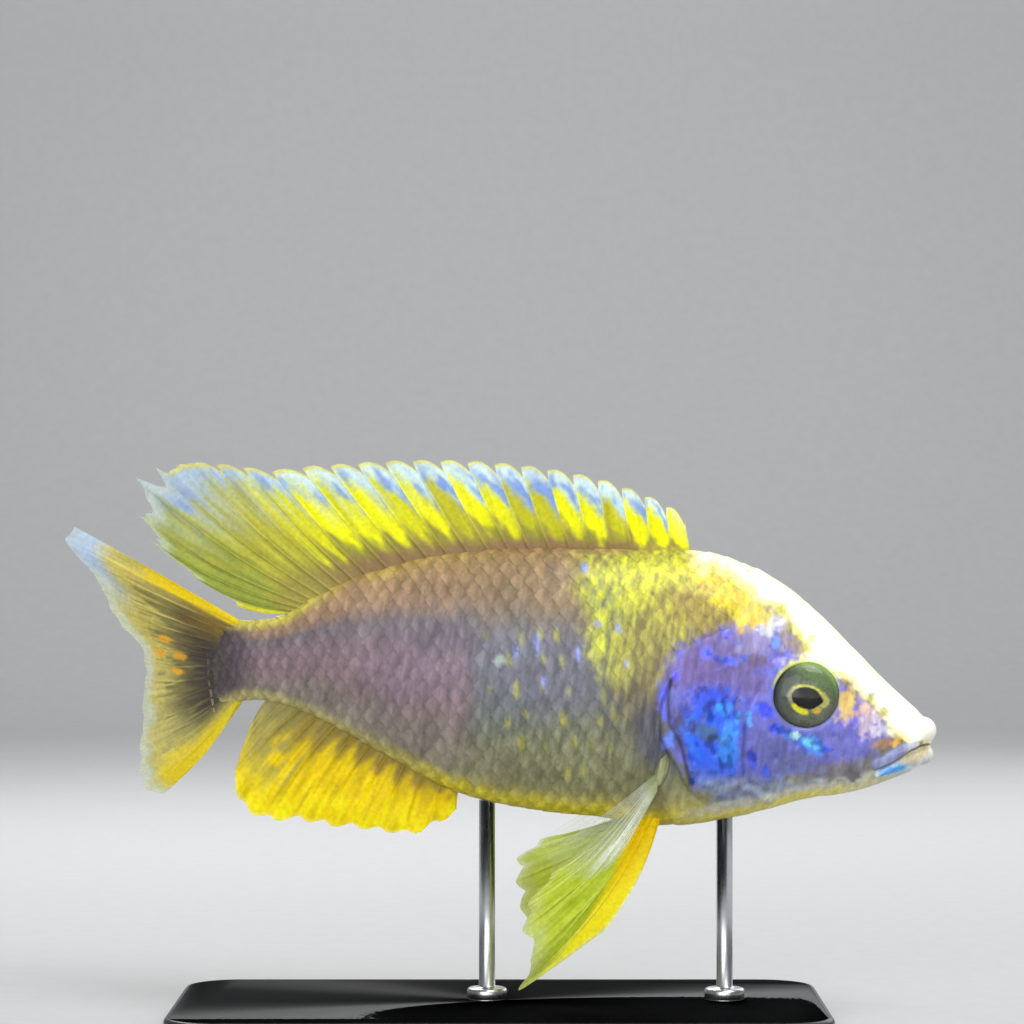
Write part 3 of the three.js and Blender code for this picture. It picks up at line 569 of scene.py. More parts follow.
# Foil-bright patches: place, half width, half height, tilt, colour, shine
BLUE_PATCHES = [
    ((33.4, 52.4), 4.4, 2.6, 8, (0.04, 0.08, 0.64), 0.5),
    ((35.2, 48.4), 3.6, 3.6, -20, (0.04, 0.13, 0.95), 0.9),
    ((31.8, 44.8), 2.2, 4.4, 14, (0.03, 0.12, 0.92), 0.9),
    ((34.9, 43.4), 3.2, 5.0, 4, (0.04, 0.13, 0.92), 0.9),
    ((36.2, 45.2), 1.5, 3.2, 4, (0.05, 0.25, 1.0), 0.9),
    ((35.6, 51.0), 1.3, 1.0, 4, (0.05, 0.22, 1.0), 0.9),
    ((33.4, 40.6), 3.6, 1.6, 0, (0.05, 0.14, 0.84), 0.8),
    ((34.5, 51.5), 0.7, 0.6, 0, (0.05, 0.34, 1.0), 1.0),
    ((37.5, 49.6), 0.5, 1.1, 0, (0.06, 0.30, 1.0), 1.0),
    ((39.3, 49.5), 0.5, 1.1, 10, (0.10, 0.36, 1.0), 1.0),
    ((32.6, 59.9), 1.0, 0.9, 0, (0.12, 0.14, 1.0), 0.8),
    ((35.6, 58.8), 1.9, 0.6, -8, (0.12, 0.14, 0.95), 0.8),
    ((35.8, 63.0), 0.6, 0.8, 0, (0.14, 0.14, 0.90), 0.7),
    ((38.6, 59.2), 0.6, 0.5, 0, (0.13, 0.14, 0.95), 0.7),
    ((43.6, 61.4), 0.7, 1.2, -20, (0.16, 0.30, 1.0), 0.9),
    ((44.3, 58.8), 1.1, 0.4, 15, (0.30, 0.26, 1.0), 0.8),
    ((38.6, 65.6), 0.8, 1.5, -30, (0.80, 0.76, 1.0), 0.3),
    ((41.9, 50.9), 1.7, 1.2, -25, (0.06, 0.09, 0.95), 0.8),
    ((43.6, 47.9), 1.0, 0.9, 0, (0.06, 0.12, 1.0), 0.9),
    ((46.2, 47.0), 1.9, 1.0, -28, (0.08, 0.20, 1.0), 0.6),
    ((49.4, 45.3), 2.5, 1.2, -30, (0.08, 0.26, 1.0), 0.6),
    ((49.0, 45.6), 1.7, 0.6, -32, (0.16, 0.60, 1.0), 0.6),
    ((51.9, 44.6), 0.8, 0.5, -20, (0.06, 0.12, 0.95), 0.8),
    ((46.6, 46.8), 0.75, 0.65, -28, (0.55, 0.90, 1.0), 0.8),
    ((27.9, 56.3), 0.5, 0.8, 0, (0.12, 0.12, 0.95), 0.7),
    ((27.0, 46.4), 1.1, 1.6, -30, (0.14, 0.22, 0.80), 0.6),
    ((39.8, 43.2), 0.8, 1.5, 8, (0.07, 0.11, 0.85), 0.7),
    ((42.2, 40.9), 0.8, 1.2, 0, (0.07, 0.11, 0.85), 0.7),
    ((32.6, 47.4), 2.5, 1.3, -28, (0.05, 0.11, 0.30), 0.2),
]
# Strokes drawn on the head: path, half width, colour, strength
HEAD_STROKES = [
    ([(27.0, 55.8), (26.5, 52), (26.8, 48.8), (28.4, 46.2), (29.5, 42), (30.2, 39.6)], 0.34,
     (0.02, 0.02, 0.07), 0.9),
    ([(25.9, 54.2), (25.7, 51.6), (26.0, 49.6)], 0.34, (0.12, 0.14, 1.0), 0.9),
    ([(38.7, 48.4), (38.4, 43), (38.9, 38.8)], 0.40, (0.04, 0.04, 0.16), 0.7),
    ([(28.6, 48.2), (29.8, 46.6), (31.4, 43.8)], 0.45, (0.04, 0.20, 1.0), 0.8),
]
# Quieter patches on the head: place, half width, half height, tilt, colour
HEAD_PATCHES = [
    ((34.6, 60.6), 5.4, 2.8, 18, (0.19, 0.14, 0.36)),
    ((41.4, 62.4), 4.4, 3.2, 30, (0.34, 0.29, 0.52)),
    ((42.9, 64.4), 2.0, 1.3, 0, (0.72, 0.74, 0.86)),
    ((46.9, 61.4), 2.6, 1.3, -35, (0.42, 0.32, 0.24)),
    ((40.4, 58.4), 2.4, 1.2, 10, (0.15, 0.10, 0.17)),
    ((31.0, 57.0), 4.2, 3.4, 0, (0.16, 0.10, 0.30)),
    ((37.6, 55.8), 4.8, 2.6, 0, (0.17, 0.12, 0.36)),
    ((28.5, 49.0), 1.5, 3.4, -10, (0.07, 0.06, 0.15)),
    ((31.4, 50.4), 1.9, 1.3, -20, (0.06, 0.06, 0.26)),
    ((43.4, 44.6), 4.4, 3.6, 0, (0.12, 0.13, 0.38)),
    ((48.2, 42.2), 5.2, 1.6, -4, (0.14, 0.15, 0.34)),
    ((54.4, 45.6), 4.2, 3.2, -30, (0.17, 0.17, 0.56)),
    ((55.6, 49.7), 2.0, 1.6, -25, (0.25, 0.21, 1.0)),
    ((58.3, 49.2), 1.8, 2.3, -20, (0.72, 0.56, 0.66)),
    ((57.6, 50.9), 1.0, 1.0, 0, (0.80, 0.55, 0.42)),
    ((60.6, 48.0), 1.6, 1.2, -10, (0.72, 0.66, 1.0)),
    ((61.0, 45.4), 1.9, 0.8, 6, (0.42, 0.24, 0.12)),
    ((63.2, 45.9), 1.2, 0.6, 30, (0.95, 0.52, 0.08)),
    ((55.0, 52.2), 1.7, 3.2, -8, (0.98, 0.62, 0.08)),
    ((57.2, 52.6), 0.7, 1.0, -25, (0.40, 0.32, 0.60)),
]
FRECKLES = [
    (40.9, 67.3), (42.4, 65.7), (44.8, 66.6), (47.4, 62.4), (49.4, 61.9), (48.6, 60.9), (59.0, 52.9),
    (61.1, 50.4), (46.1, 64.0),
]
print("foil patches:", len(BLUE_PATCHES), "quiet ones:", len(HEAD_PATCHES))

# %% Small marks
# Upright yellow marks on the flank: x, z, half height, strength
FLANK_MARKS = [
    (6.4, 62.8, 1.1, 0.9), (9.1, 62.5, 1.2, 0.9), (3.4, 62.2, 1.1, 0.6), (1.5, 58.8, 1.2, 0.6),
    (7.0, 58.9, 0.7, 0.8), (10.0, 58.6, 0.8, 0.7), (2.7, 54.2, 1.5, 1.0), (11.0, 53.8, 0.9, 0.4),
    (16.4, 53.2, 1.6, 0.6), (1.4, 49.0, 0.7, 0.9), (10.1, 49.2, 1.3, 1.0), (4.1, 50.2, 0.5, 0.7),
    (3.5, 45.6, 1.4, 0.8), (11.9, 45.8, 1.0, 0.7), (10.8, 41.0, 1.3, 0.6), (14.6, 45.4, 1.0, 0.5),
    (15.8, 49.4, 1.0, 0.6), (18.2, 49.6, 1.0, 0.5), (6.8, 54.4, 0.9, 0.4), (-2.2, 62.8, 0.8, 0.4),
    (17.4, 45.0, 1.2, 0.4), (7.2, 44.8, 1.0, 0.5), (-1.4, 54.2, 0.9, 0.35), (13.2, 41.4, 1.0, 0.5),
]
# Blue spots on the flank: x, z, half width, half height
FLANK_GEMS = [
    (15.6, 64.6, 0.6, 0.5), (18.8, 63.8, 0.45, 0.6), (7.0, 55.4, 0.5, 0.6), (12.4, 59.6, 0.35, 1.0),
    (5.9, 61.4, 0.3, 1.6), (13.6, 73.4, 0.5, 0.8), (2.6, 60.2, 0.3, 0.9), (20.0, 58.2, 0.3, 0.5),
]
MINT_SPOT = (0.05, 58.7)
print("flank marks:", len(FLANK_MARKS), "blue spots:", len(FLANK_GEMS))

# %% A coat of paint
class Wash:
    """Paint at many places: ground colour, streak colour, the share they cover, and their shine."""

    def __init__(self, count):
        self.ground = np.zeros((count, 3))
        self.streak = np.zeros((count, 3))
        self.cover = np.zeros(count)
        self.shine = np.zeros(count)

    def lay(self, share, ground, streak, cover=None, shine=None):
        """Lays new paint over the old by a share. A cover or shine of None stays as it was."""
        layers = {"ground": ground, "streak": streak, "cover": cover, "shine": shine}
        for key, value in layers.items():
            if value is not None:
                setattr(self, key, mix(getattr(self, key), value, share))

    def lay_all(self, x, z, shift, washes, within=1):
        """Lays the broad washes of a table, one over the other."""
        for centre, wide, tall, tilt, soft, ragged, strength, ground, streak, cover in washes.values():
            share = strength * within * blob(x, z, centre, wide, tall, tilt, soft, ragged, shift)
            self.lay(share, ground, streak, cover)


print("layers of a coat:", list(vars(Wash(1))))

# %% Painting the flank and the shoulder
def paint_flank(wash, x, z, shift):
    """The trunk and tail stalk: mauve behind, blue grey in front, brown above and gold below."""
    height = (z - belly_at(x)) / (back_at(x) - belly_at(x))
    height = height + 0.05 * (cloud(x, z, 2.0, 4.0, shift) - 0.5) * ease(height, 0.02, 0.2)
    edge = x + 1.6 * (cloud(x, z, 1.0, 3.0, shift) - 0.5)
    front = mix(ease(edge, -14, 4), ease(edge, -6.4, -2.6), ease(height, 0.2, 0.35) * ease(height, 0.8, 0.66))
    ground = mix(stops(height, GROUND_REAR), stops(height, GROUND_MIDDLE), front)
    patchy = cloud(x - 0.15 * z, z, 1.3, 4.5, shift) + 0.5 * cloud(x - 0.1 * z, z, 0.5, 2.2, shift)
    ground = ground * (0.72 + 0.36 * patchy)[..., None]
    wash.lay(1, ground * 0.91, ground * 1.26 + 0.01, cover=0.42)
    wash.lay_all(x, z, shift, FLANK_WASHES)
    stalk = ease(x + 3 * np.abs(height - 0.5), -37, -43)
    wash.lay(0.9 * stalk, (0.075, 0.06, 0.075), (0.15, 0.12, 0.13), cover=0.35)
    end = ease(x, -42.5, -45.5) * ease(height, 0.08, 0.3) * ease(height, 1.02, 0.86)
    wash.lay(0.95 * end, (0.085, 0.07, 0.07), (0.12, 0.10, 0.095))
    stalk_edge = ease(x, -36, -42) * ease(height, 0.22, 0.04)
    wash.lay(0.8 * stalk_edge, (0.40, 0.34, 0.10), (0.6, 0.5, 0.14))
    below = z - belly_at(x)
    gold = ease(below + 1.2 * (cloud(x, z, 1.2, 2.0, shift) - 0.5), 3.4, 1.2)
    wash.lay(0.95 * gold * ease(x, -24, -6), (0.72, 0.60, 0.03), (0.95, 0.84, 0.08), cover=0.5)
    dull_gold = ease(below, 2.4, 0.6) * ease(x, -6, -24)
    wash.lay(0.8 * dull_gold, (0.44, 0.40, 0.16), (0.66, 0.58, 0.22))
    top = ease(back_at(x) - z, 2.4, 0.6) * ease(x, -24, -34) * ease(x, -46.5, -44)
    wash.lay(0.85 * top, (0.50, 0.44, 0.06), (0.82, 0.74, 0.14), cover=0.5)


def paint_shoulder(wash, x, z, shift):
    """Lemon streaks behind the forehead, over grey green gaps, with a golden olive patch under them."""
    where = zone(x, z, SHOULDER, 2.4, 2.0, shift)
    wash.lay(0.88 * where, (0.28, 0.28, 0.09), (0.74, 0.75, 0.04), cover=0.52)
    wash.lay_all(x, z, shift, SHOULDER_WASHES, within=where)
    wash.lay_all(x, z, shift, NAPE_WASHES)


def paint_marks(wash, x, z, shift):
    """Yellow marks on single scales, blue spots and one mint patch."""
    mint = blob(x, z, MINT_SPOT, 1.0, 0.8, 0, 0.4, 0.5, shift)
    wash.lay(0.85 * mint, (0.36, 0.46, 0.40), (0.44, 0.56, 0.48))
    for mark_x, mark_z, tall, strength in FLANK_MARKS:
        mark = blob(x, z, (mark_x, mark_z), 0.42, tall, 0, 0.6, 0.5, shift)
        wash.lay(0.75 * strength * mark, (0.44, 0.42, 0.05), (0.66, 0.64, 0.06))
    for spot_x, spot_z, wide, tall in FLANK_GEMS:
        spot = blob(x, z, (spot_x, spot_z), wide, tall, 0, 0.4, 0.5, shift)
        wash.lay(0.85 * spot, (0.26, 0.30, 0.80), (0.34, 0.42, 0.98), shine=0.4)


print("washes on them:", len(FLANK_WASHES), "+", len(SHOULDER_WASHES), "+", len(NAPE_WASHES))

# %% Painting the head
def paint_head(wash, x, z, shift):
    """The blue mask with its foil patches, the cheek and the throat."""
    mask = zone(x, z, BLUE_HEAD, 1.5, 2.2, shift)
    deep = mix((0.11, 0.11, 0.40), (0.20, 0.21, 0.76), cloud(x, z, 1.0, 1.3, shift))
    wash.lay(mask, deep * 0.97, deep * 1.15, cover=0.5, shine=0.3)
    for centre, wide, tall, tilt, colour in HEAD_PATCHES:
        share = 0.85 * blob(x, z, centre, wide, tall, tilt, 0.5, 0.8, shift)
        colour = np.array(colour)
        wash.lay(share, colour * 0.78, np.minimum(colour * 1.17 + 0.02, 1), cover=0.46)
    for centre, wide, tall, tilt, colour, foil in BLUE_PATCHES:
        share = blob(x, z, centre, wide, tall, tilt, 0.35, 0.6, shift)
        colour = np.array(colour)
        tone = mix(0.50, 1.15, ease(cloud(x + 0.2 * z, z, 0.8, 1.1, shift + 5), 0.22, 0.52))[..., None]
        glint = foil * ease(cloud(x - 0.2 * z, z, 0.9, 1.3, shift + 7), 0.60, 0.95)[..., None]
        bright = np.minimum(colour * tone + glint * np.array((0.03, 0.10, 0.14)), 1)
        wash.lay(share, bright * 0.85, np.minimum(bright * 1.1, 1), cover=0.7, shine=foil)
    for path, half, colour, strength in HEAD_STROKES:
        wander = 0.3 * (cloud(x, z, 0.8, 1.0, shift) - 0.5)
        share = strength * ridge(distance_to(x, z, path) + wander, 0, half)
        wash.lay(share, colour, colour)
    throat = zone(x, z, THROAT, 1.6, 1.6, shift)
    grey = mix((0.12, 0.15, 0.27), (0.27, 0.32, 0.46), cloud(x, z, 1.6, 0.9, shift))
    wash.lay(0.92 * throat, grey, grey * 1.5 + 0.04, cover=0.4, shine=0.1)
    below = z - belly_at(x) + 0.8 * (cloud(x, z, 1.6, 1.0, shift) - 0.5)
    sand = ease(below, 3.6, 2.0) * ease(x, 26, 33)
    wash.lay(0.85 * sand, (0.55, 0.54, 0.38), (0.75, 0.75, 0.56), cover=0.4)
    gold = ease(below, 1.9, 0.9) * ease(x, 24, 30) * ease(x, 62, 50)
    wash.lay(gold, (0.74, 0.64, 0.10), (0.92, 0.84, 0.20), cover=0.5)


print("strokes on it:", len(HEAD_STROKES))

# %% Painting the mouth and the forehead
def paint_mouth(wash, x, z, shift):
    """Grey blue upper jaw plate, tan lip line, pale lower lip with an azure dash and a creamy chin, with
    painted shade on the chin and along the slit.
    """
    above = z - mouth_line(x)
    # Painted shade on the chin, behind the mouth's corner: a dark patch with a darker core
    dusk = blob(x, z, (54.6, 41.0), 4.0, 1.5, 8, 0.6, 0.8, shift)
    wash.lay(0.85 * dusk, (0.17, 0.145, 0.15), (0.28, 0.24, 0.24), cover=0.4, shine=0)
    shadow = blob(x, z, (55.8, 40.4), 1.2, 0.9, 0, 0.5, 0.8, shift)
    wash.lay(0.8 * shadow, (0.10, 0.095, 0.10), (0.14, 0.13, 0.14))
    chin = ease(x, 58.8, 60.6) * ease(above, -1.6, -2.2)
    wash.lay(chin, (0.50, 0.48, 0.30), (0.66, 0.64, 0.42), cover=0.4, shine=0)
    plate = distance_to(x, z, MAXILLA) + 0.3 * (cloud(x, z, 0.9, 0.8, shift) - 0.5)
    plate = ease(plate, 1.15, 0.75) * ease(above, -0.25, 0.1)
    steel = mix((0.26, 0.29, 0.50), (0.56, 0.58, 0.66), ease(x, 63, 66))
    wash.lay(plate, steel * 0.85, steel * 1.3, cover=0.45, shine=0.2)
    lip = ease(x, 59.2, 60.4) * ease(above, 0.1, -0.1) * ease(z, 40.2, 40.9)
    pale = mix((0.42, 0.56, 0.72), (0.66, 0.70, 0.68), ease(x, 62.6, 66.5))
    wash.lay(lip, pale * 0.85, np.minimum(pale * 1.2, 1), cover=0.5, shine=0.1)
    tan = blob(x, z, (66.4, 43.9), 2.6, 0.95, 26, 0.4, 0.4, shift) * ease(above, 0.1, -0.1)
    wash.lay(0.9 * tan, (0.50, 0.40, 0.22), (0.66, 0.56, 0.32), shine=0)
    front = ease(x, 67.9, 68.6) * ease(above, 0.1, -0.1)
    wash.lay(0.85 * front, (0.84, 0.82, 0.62), (0.96, 0.95, 0.78), shine=0)
    dash = blob(x, z, (62.4, 41.2), 2.1, 0.75, 14, 0.35, 0.4, shift)
    wash.lay(0.95 * dash, (0.10, 0.34, 0.78), (0.12, 0.46, 1.0), cover=0.6, shine=0.4)
    azure = blob(x, z, (63.7, 41.5), 0.9, 0.5, 14, 0.35, 0.4, shift)
    wash.lay(0.9 * azure, (0.06, 0.42, 0.95), (0.08, 0.52, 1.0))
    # Painted shade along the slit of the mouth
    line = ridge(above, 0, 0.22) * ease(x, 59.0, 60.4)
    wash.lay(0.7 * line, (0.26, 0.17, 0.10), (0.34, 0.24, 0.14))


def paint_blaze(wash, x, z, shift):
    """The burnt out white forehead, its yellow border, its orange fringe and its freckles."""
    fringe = zone(x, z, ORANGE_FRINGE, 1.2, 2.4, shift)
    warm = mix((0.72, 0.56, 0.03), (0.86, 0.44, 0.02), ease(cloud(x, z, 1.1, 1.1, shift + 9), 0.5, 0.7))
    wash.lay(0.92 * fringe, warm, (0.96, 0.84, 0.05), cover=0.5, shine=0)
    edge = zone(x, z, BLAZE, 0.6, 1.1, shift)
    wash.lay(edge, (0.98, 0.90, 0.22), (1.0, 0.96, 0.40), cover=0.5, shine=0)
    from_edge = distance_to(x, z, BLAZE_EDGE) + 0.8 * (cloud(x, z, 1.2, 1.2, shift) - 0.5)
    inner = ease(from_edge + 0.9 * ease(x, 44, 54), 0.5, 2.0) * edge
    wash.lay(inner, (1.0, 0.985, 0.84), (1.0, 1.0, 0.92))
    rim = ease(back_at(x) - z, 0.9, 0.1) * edge * ease(x, 66, 60)
    wash.lay(0.6 * rim, (0.98, 0.94, 0.40), (1.0, 0.96, 0.50))
    for spot in FRECKLES:
        freckle = blob(x, z, spot, 0.7, 0.55, 35, 0.5, 1.0, shift)
        wash.lay(0.7 * freckle, (0.46, 0.42, 0.05), (0.70, 0.66, 0.12))


print("freckles on it:", len(FRECKLES))

# %% The whole paint
def paint(x, z, shift=0):
    """The paint of the fish at any places in side view. The shift varies the noise."""
    x, z = np.ravel(x), np.ravel(z)
    wash = Wash(len(x))
    paint_flank(wash, x, z, shift)
    paint_shoulder(wash, x, z, shift)
    paint_marks(wash, x, z, shift)
    paint_head(wash, x, z, shift)
    paint_blaze(wash, x, z, shift)
    paint_mouth(wash, x, z, shift)
    from_eye = np.hypot(x - EYE_X, z - EYE_Z)
    lid = ridge(from_eye, EYE_OPENING + 0.1, 0.3)
    upper_lid = lid * ease(z - EYE_Z, 0.5, 3)
    wash.lay(0.9 * upper_lid, (0.84, 0.90, 0.12), (0.92, 0.97, 0.20), shine=0)
    lower_lid = lid * ease(z - EYE_Z, 1, -1)
    wash.lay(0.5 * lower_lid, (0.16, 0.16, 0.26), (0.24, 0.24, 0.36))
    socket = ease(from_eye, EYE_OPENING, EYE_OPENING - 0.35)
    wash.lay(socket, (0.16, 0.19, 0.12), (0.16, 0.19, 0.12), cover=0, shine=0)
    nostril = 0.7 * pit(x, z, NOSTRIL, 0.36)
    wash.lay(nostril, (0.30, 0.32, 0.16), (0.30, 0.32, 0.16))
    return wash


print("ground on the flank:", np.round(paint([0.0], [55.0]).ground[0], 2))

# %% [markdown]
# ## Materials
#
# Wet skin is a coloured layer under a thin clear one, so the shader's coat does the wetness and the
# layer below stays fairly rough. The mesh brings the ground colour, the streak colour and the share that the
# streaks cover. The streaks themselves are finer than the mesh, so they are a noise that is stretched
# upright: the more cover, the lower the level above which the noise shows the streak colour. Where they
# shine, the layer turns towards metal, as the crystals in a real fish's skin do.
# Fins let light through, so theirs is mixed with a translucent shader.

# %% Material tools
def new_material(name):
    """A material with an empty node tree, and a helper that adds nodes to it."""
    material = bpy.data.materials.new(name)
    material.use_nodes = True
    tree = material.node_tree
    tree.nodes.clear()

    def add(kind, inputs=None, **settings):
        node = tree.nodes.new("ShaderNode" + kind)
        for key, value in settings.items():
            setattr(node, key, value)
        for key, value in (inputs or {}).items():
            if isinstance(value, bpy.types.NodeSocket):
                tree.links.new(value, node.inputs[key])
            else:
                node.inputs[key].default_value = value
        return node

    return material, add


def finished(material, add, surface):
    add("OutputMaterial", {"Surface": surface})
    return material


def on_mesh(add, name, output="Fac"):
    """A value or, with the output Color, a colour that the mesh carries."""
    return add("Attribute", attribute_name=name).outputs[output]


def noise(add, where, scale, detail, roughness=0.5):
    """Random values without a pattern. The scale counts their cells in a metre."""
    inputs = {"Vector": where, "Scale": scale, "Detail": detail, "Roughness": roughness}
    return add("TexNoise", inputs).outputs["Fac"]


def spread(add, value, low, high, start=0.0, end=1.0):
    """A value between start and end moved to the range between low and high."""
    inputs = {"Value": value, "From Min": start, "From Max": end, "To Min": low, "To Max": high}
    return add("MapRange", inputs).outputs["Result"]


def blend(add, share, first, second):
    """One colour turned into another by a share."""
    return add("MixRGB", {"Fac": share, "Color1": first, "Color2": second}).outputs["Color"]


def bumped(add, height, strength, distance):
    """The directions of a surface that a height roughens, over a distance in metres."""
    return add("Bump", {"Height": height, "Strength": strength, "Distance": distance}).outputs["Normal"]


def product(add, first, second):
    return add("Math", {0: first, 1: second}, operation="MULTIPLY").outputs["Value"]


def scaled_sum(add, value, factor, more):
    return add("Math", {0: value, 1: factor, 2: more}, operation="MULTIPLY_ADD").outputs["Value"]


print("material nodes are added by", new_material.__name__)

# %% Wet skin
def speckled(add, tint, scale, amount, where):
    """The tint made lighter and darker by fine noise."""
    grain = noise(add, where, scale, 5.0, 0.6)
    strength = spread(add, grain, 1 - amount, 1 + amount, 0.3, 0.7)
    return add("VectorMath", {0: tint, 1: strength}, operation="MULTIPLY").outputs["Vector"]


def streak_mask(add, place, cover):
    """1 in upright brush marks that take up a share of the surface, 0 between them."""
    leaning = add("Mapping", {"Vector": place, "Rotation": (0, -0.16, 0)})
    drawn = add("Mapping", {"Vector": leaning.outputs["Vector"], "Scale": (1.0, 0.7, 0.24)})
    marks = noise(add, drawn.outputs["Vector"], 1050.0, 2.6)
    return spread(add, scaled_sum(add, cover, 0.5, marks), 0.0, 1.0, 0.58, 0.90)


def skin_material(name, roughness, grain_scale, bump_height):
    """Wet skin with the mesh's own ground colour and its streaks."""
    material, add = new_material(name)
    place = add("TexCoord").outputs["Object"]
    mask = streak_mask(add, place, on_mesh(add, "cover"))
    tint = blend(add, mask, on_mesh(add, "ground", "Color"), on_mesh(add, "streak", "Color"))
    colour = speckled(add, tint, grain_scale, 0.10, place)
    metal = product(add, product(add, on_mesh(add, "shine"), mask), 0.6)
    matt = noise(add, place, grain_scale * 0.6, 3.0)
    rough = spread(add, matt, roughness - 0.1, roughness + 0.12)
    height = scaled_sum(add, mask, 0.35, noise(add, place, grain_scale * 1.4, 4.0))
    shader = add("BsdfPrincipled", {
        "Base Color": colour, "Metallic": metal, "Roughness": rough,
        "Normal": bumped(add, height, 0.28, bump_height), "Specular IOR Level": 0.32,
        "Coat Weight": 0.16, "Coat Roughness": 0.18,
    })
    return finished(material, add, shader.outputs["BSDF"])


skin_finish = skin_material("wet skin", 0.46, 1500.0, 0.00006)
scale_finish = skin_material("wet scales", 0.44, 1900.0, 0.00005)
print("materials:", skin_finish.name, "and", scale_finish.name)

# %% [markdown]
# ## One skin over the whole fish
#
# The solid model is cut into head, jaw, gill covers, trunk and stalk. On the animal they are one skin, so one
# mesh takes their place. It is a grid with more stations in the head, where the small forms are, and it
# is worked in order: the plain body, the relief along its normals, and then the lips and the mouth. Under
# the scales it lies a little lower, which leaves them room.

# %% Skin
SKIN_COLUMNS = 300
SCALE_BED = 0.3
BELOW_THE_EYE = 51
SIDE_BLEND = 0.12
stations = np.concatenate([
    np.linspace(SKIN_END_X, 22, 124, endpoint=False),
    np.linspace(22, NOSE_ROUND_X, 160, endpoint=False),
    NOSE_ROUND_X + (SNOUT_X - NOSE_ROUND_X) * (1 - (1 - np.linspace(0, 0.985, 26)) ** 1.3),
])
turns = np.linspace(0, 2 * math.pi, SKIN_COLUMNS, endpoint=False)


def scaled_area(x, z):
    """1 where the body carries scales, 0 on the bare head."""
    nape = 41 + 0.1 * (z - 62)
    shoulder = np.interp(z, [30, 38, 43, 50, 55, 60, 64, 76], [29, 25.4, 22.6, 22.8, 23.6, 27.4, 36.6, 42])
    return ease(x, np.minimum(nape, shoulder) + 0.8, np.minimum(nape, shoulder) - 0.8)


station_grid, turn_grid = np.meshgrid(stations, turns, indexing="ij")
plain = body_point(station_grid, turn_grid)
wrapped = np.concatenate([plain[:, -1:], plain, plain[:, :1]], axis=1)
normals = outward(wrapped)[:, 1:-1]
if np.sum(normals[..., 1] * np.sin(turns)) < 0:
    normals = -normals
side_x, side_z = plain[..., 0], plain[..., 2]
lift = relief(side_x, side_z) - SCALE_BED * scaled_area(side_x, side_z)
flat_ahead = ease(station_grid, SNOUT_X - 0.6, NOSE_ROUND_X)
skin_points = (plain + normals * (lift * flat_ahead)[..., None]).reshape(-1, 3)
mouth = np.flatnonzero((skin_points[:, 0] > NEAR_THE_MOUTH) & (skin_points[:, 2] < BELOW_THE_EYE))
skin_points[mouth] = mouth_shaped(skin_points[mouth], normals.reshape(-1, 3)[mouth])

skin_paint = paint(side_x, side_z)
left_paint = paint(side_x, side_z, shift=3)
on_left = ease(np.sin(turn_grid).ravel(), -SIDE_BLEND, SIDE_BLEND)
for key in ("ground", "streak", "cover", "shine"):
    setattr(skin_paint, key, mix(getattr(skin_paint, key), getattr(left_paint, key), on_left))
share_along = (station_grid - SKIN_END_X) / (SNOUT_X - SKIN_END_X)
skin_map = np.stack([0.02 + 0.96 * share_along, 0.02 + 0.96 * turn_grid / (2 * math.pi)], -1).reshape(-1, 2)

skin = make_mesh(
    "skin", skin_points, tube_faces(len(stations), SKIN_COLUMNS),
    {"ground": skin_paint.ground, "streak": skin_paint.streak},
    {"cover": skin_paint.cover, "shine": skin_paint.shine}, skin_map,
)
settle(
    skin, "flank_skin", skin_finish, "head", "lower_jaw", "gill_cover_right", "gill_cover_left",
    "trunk", "tail_stalk",
)

# %% [markdown]
# ## Scales
#
# A cichlid's scales are thin plates of bone, rooted in pockets of the skin and laid like roof tiles from head
# to tail, each row half a scale behind its neighbours. They could be faked with a bump pattern, but then
# the outline and the shadows would stay bare, so every scale is a small closed plate here. The rows
# are laid out on a chart of the body: one axis runs along the fish, the other is the true distance over
# the curve of the flank, measured from its widest level. A few numbers for each scale, taken at random,
# keep the coat from looking machine made.

# %% Chart of the flank
CHART_COLUMNS, CHART_ROWS, CHART_TURNS = 260, 221, 361
chart_x = np.linspace(SKIN_END_X, 44, CHART_COLUMNS)


def flank_chart(sign):
    """Points, normals and arc distances over one flank, on an even grid of x and arc."""
    turn = np.linspace(0.0, math.pi, CHART_TURNS) * sign
    xx, tt = np.meshgrid(chart_x, turn, indexing="ij")
    points = body_point(xx, tt)
    normal = outward(points)
    if np.sum(normal[..., 1] * sign) < 0:
        normal = -normal
    step = np.linalg.norm(np.diff(points, axis=1), axis=-1)
    arc = np.concatenate([np.zeros((CHART_COLUMNS, 1)), np.cumsum(step, axis=1)], axis=1)
    widest = CHART_TURNS // 2
    arc = arc - arc[:, widest:widest + 1]
    even_points = np.empty((CHART_COLUMNS, CHART_ROWS, 3))
    even_normals = np.empty((CHART_COLUMNS, CHART_ROWS, 3))
    for i in range(CHART_COLUMNS):
        even = np.linspace(arc[i, 0], arc[i, -1], CHART_ROWS)
        for k in range(3):
            even_points[i, :, k] = np.interp(even, arc[i], points[i, :, k])
            even_normals[i, :, k] = np.interp(even, arc[i], normal[i, :, k])
    return even_points, even_normals, arc[:, 0], arc[:, -1]


def chart_read(chart, x, arc):
    """The body's point and normal at places on the chart."""
    points, normal, top, low = chart
    i = np.clip((x - chart_x[0]) / (chart_x[1] - chart_x[0]), 0, CHART_COLUMNS - 1.001)
    i0 = i.astype(int)
    share = (i - i0)[..., None]
    top_here = np.interp(x, chart_x, top)
    low_here = np.interp(x, chart_x, low)
    k = np.clip((arc - top_here) / (low_here - top_here), 0, 1) * (CHART_ROWS - 1.001)
    k0 = k.astype(int)
    rise = (k - k0)[..., None]

    def read(table):
        near = table[i0, k0] * (1 - rise) + table[i0, k0 + 1] * rise
        far = table[i0 + 1, k0] * (1 - rise) + table[i0 + 1, k0 + 1] * rise
        return near * (1 - share) + far * share

    return read(points), read(normal)


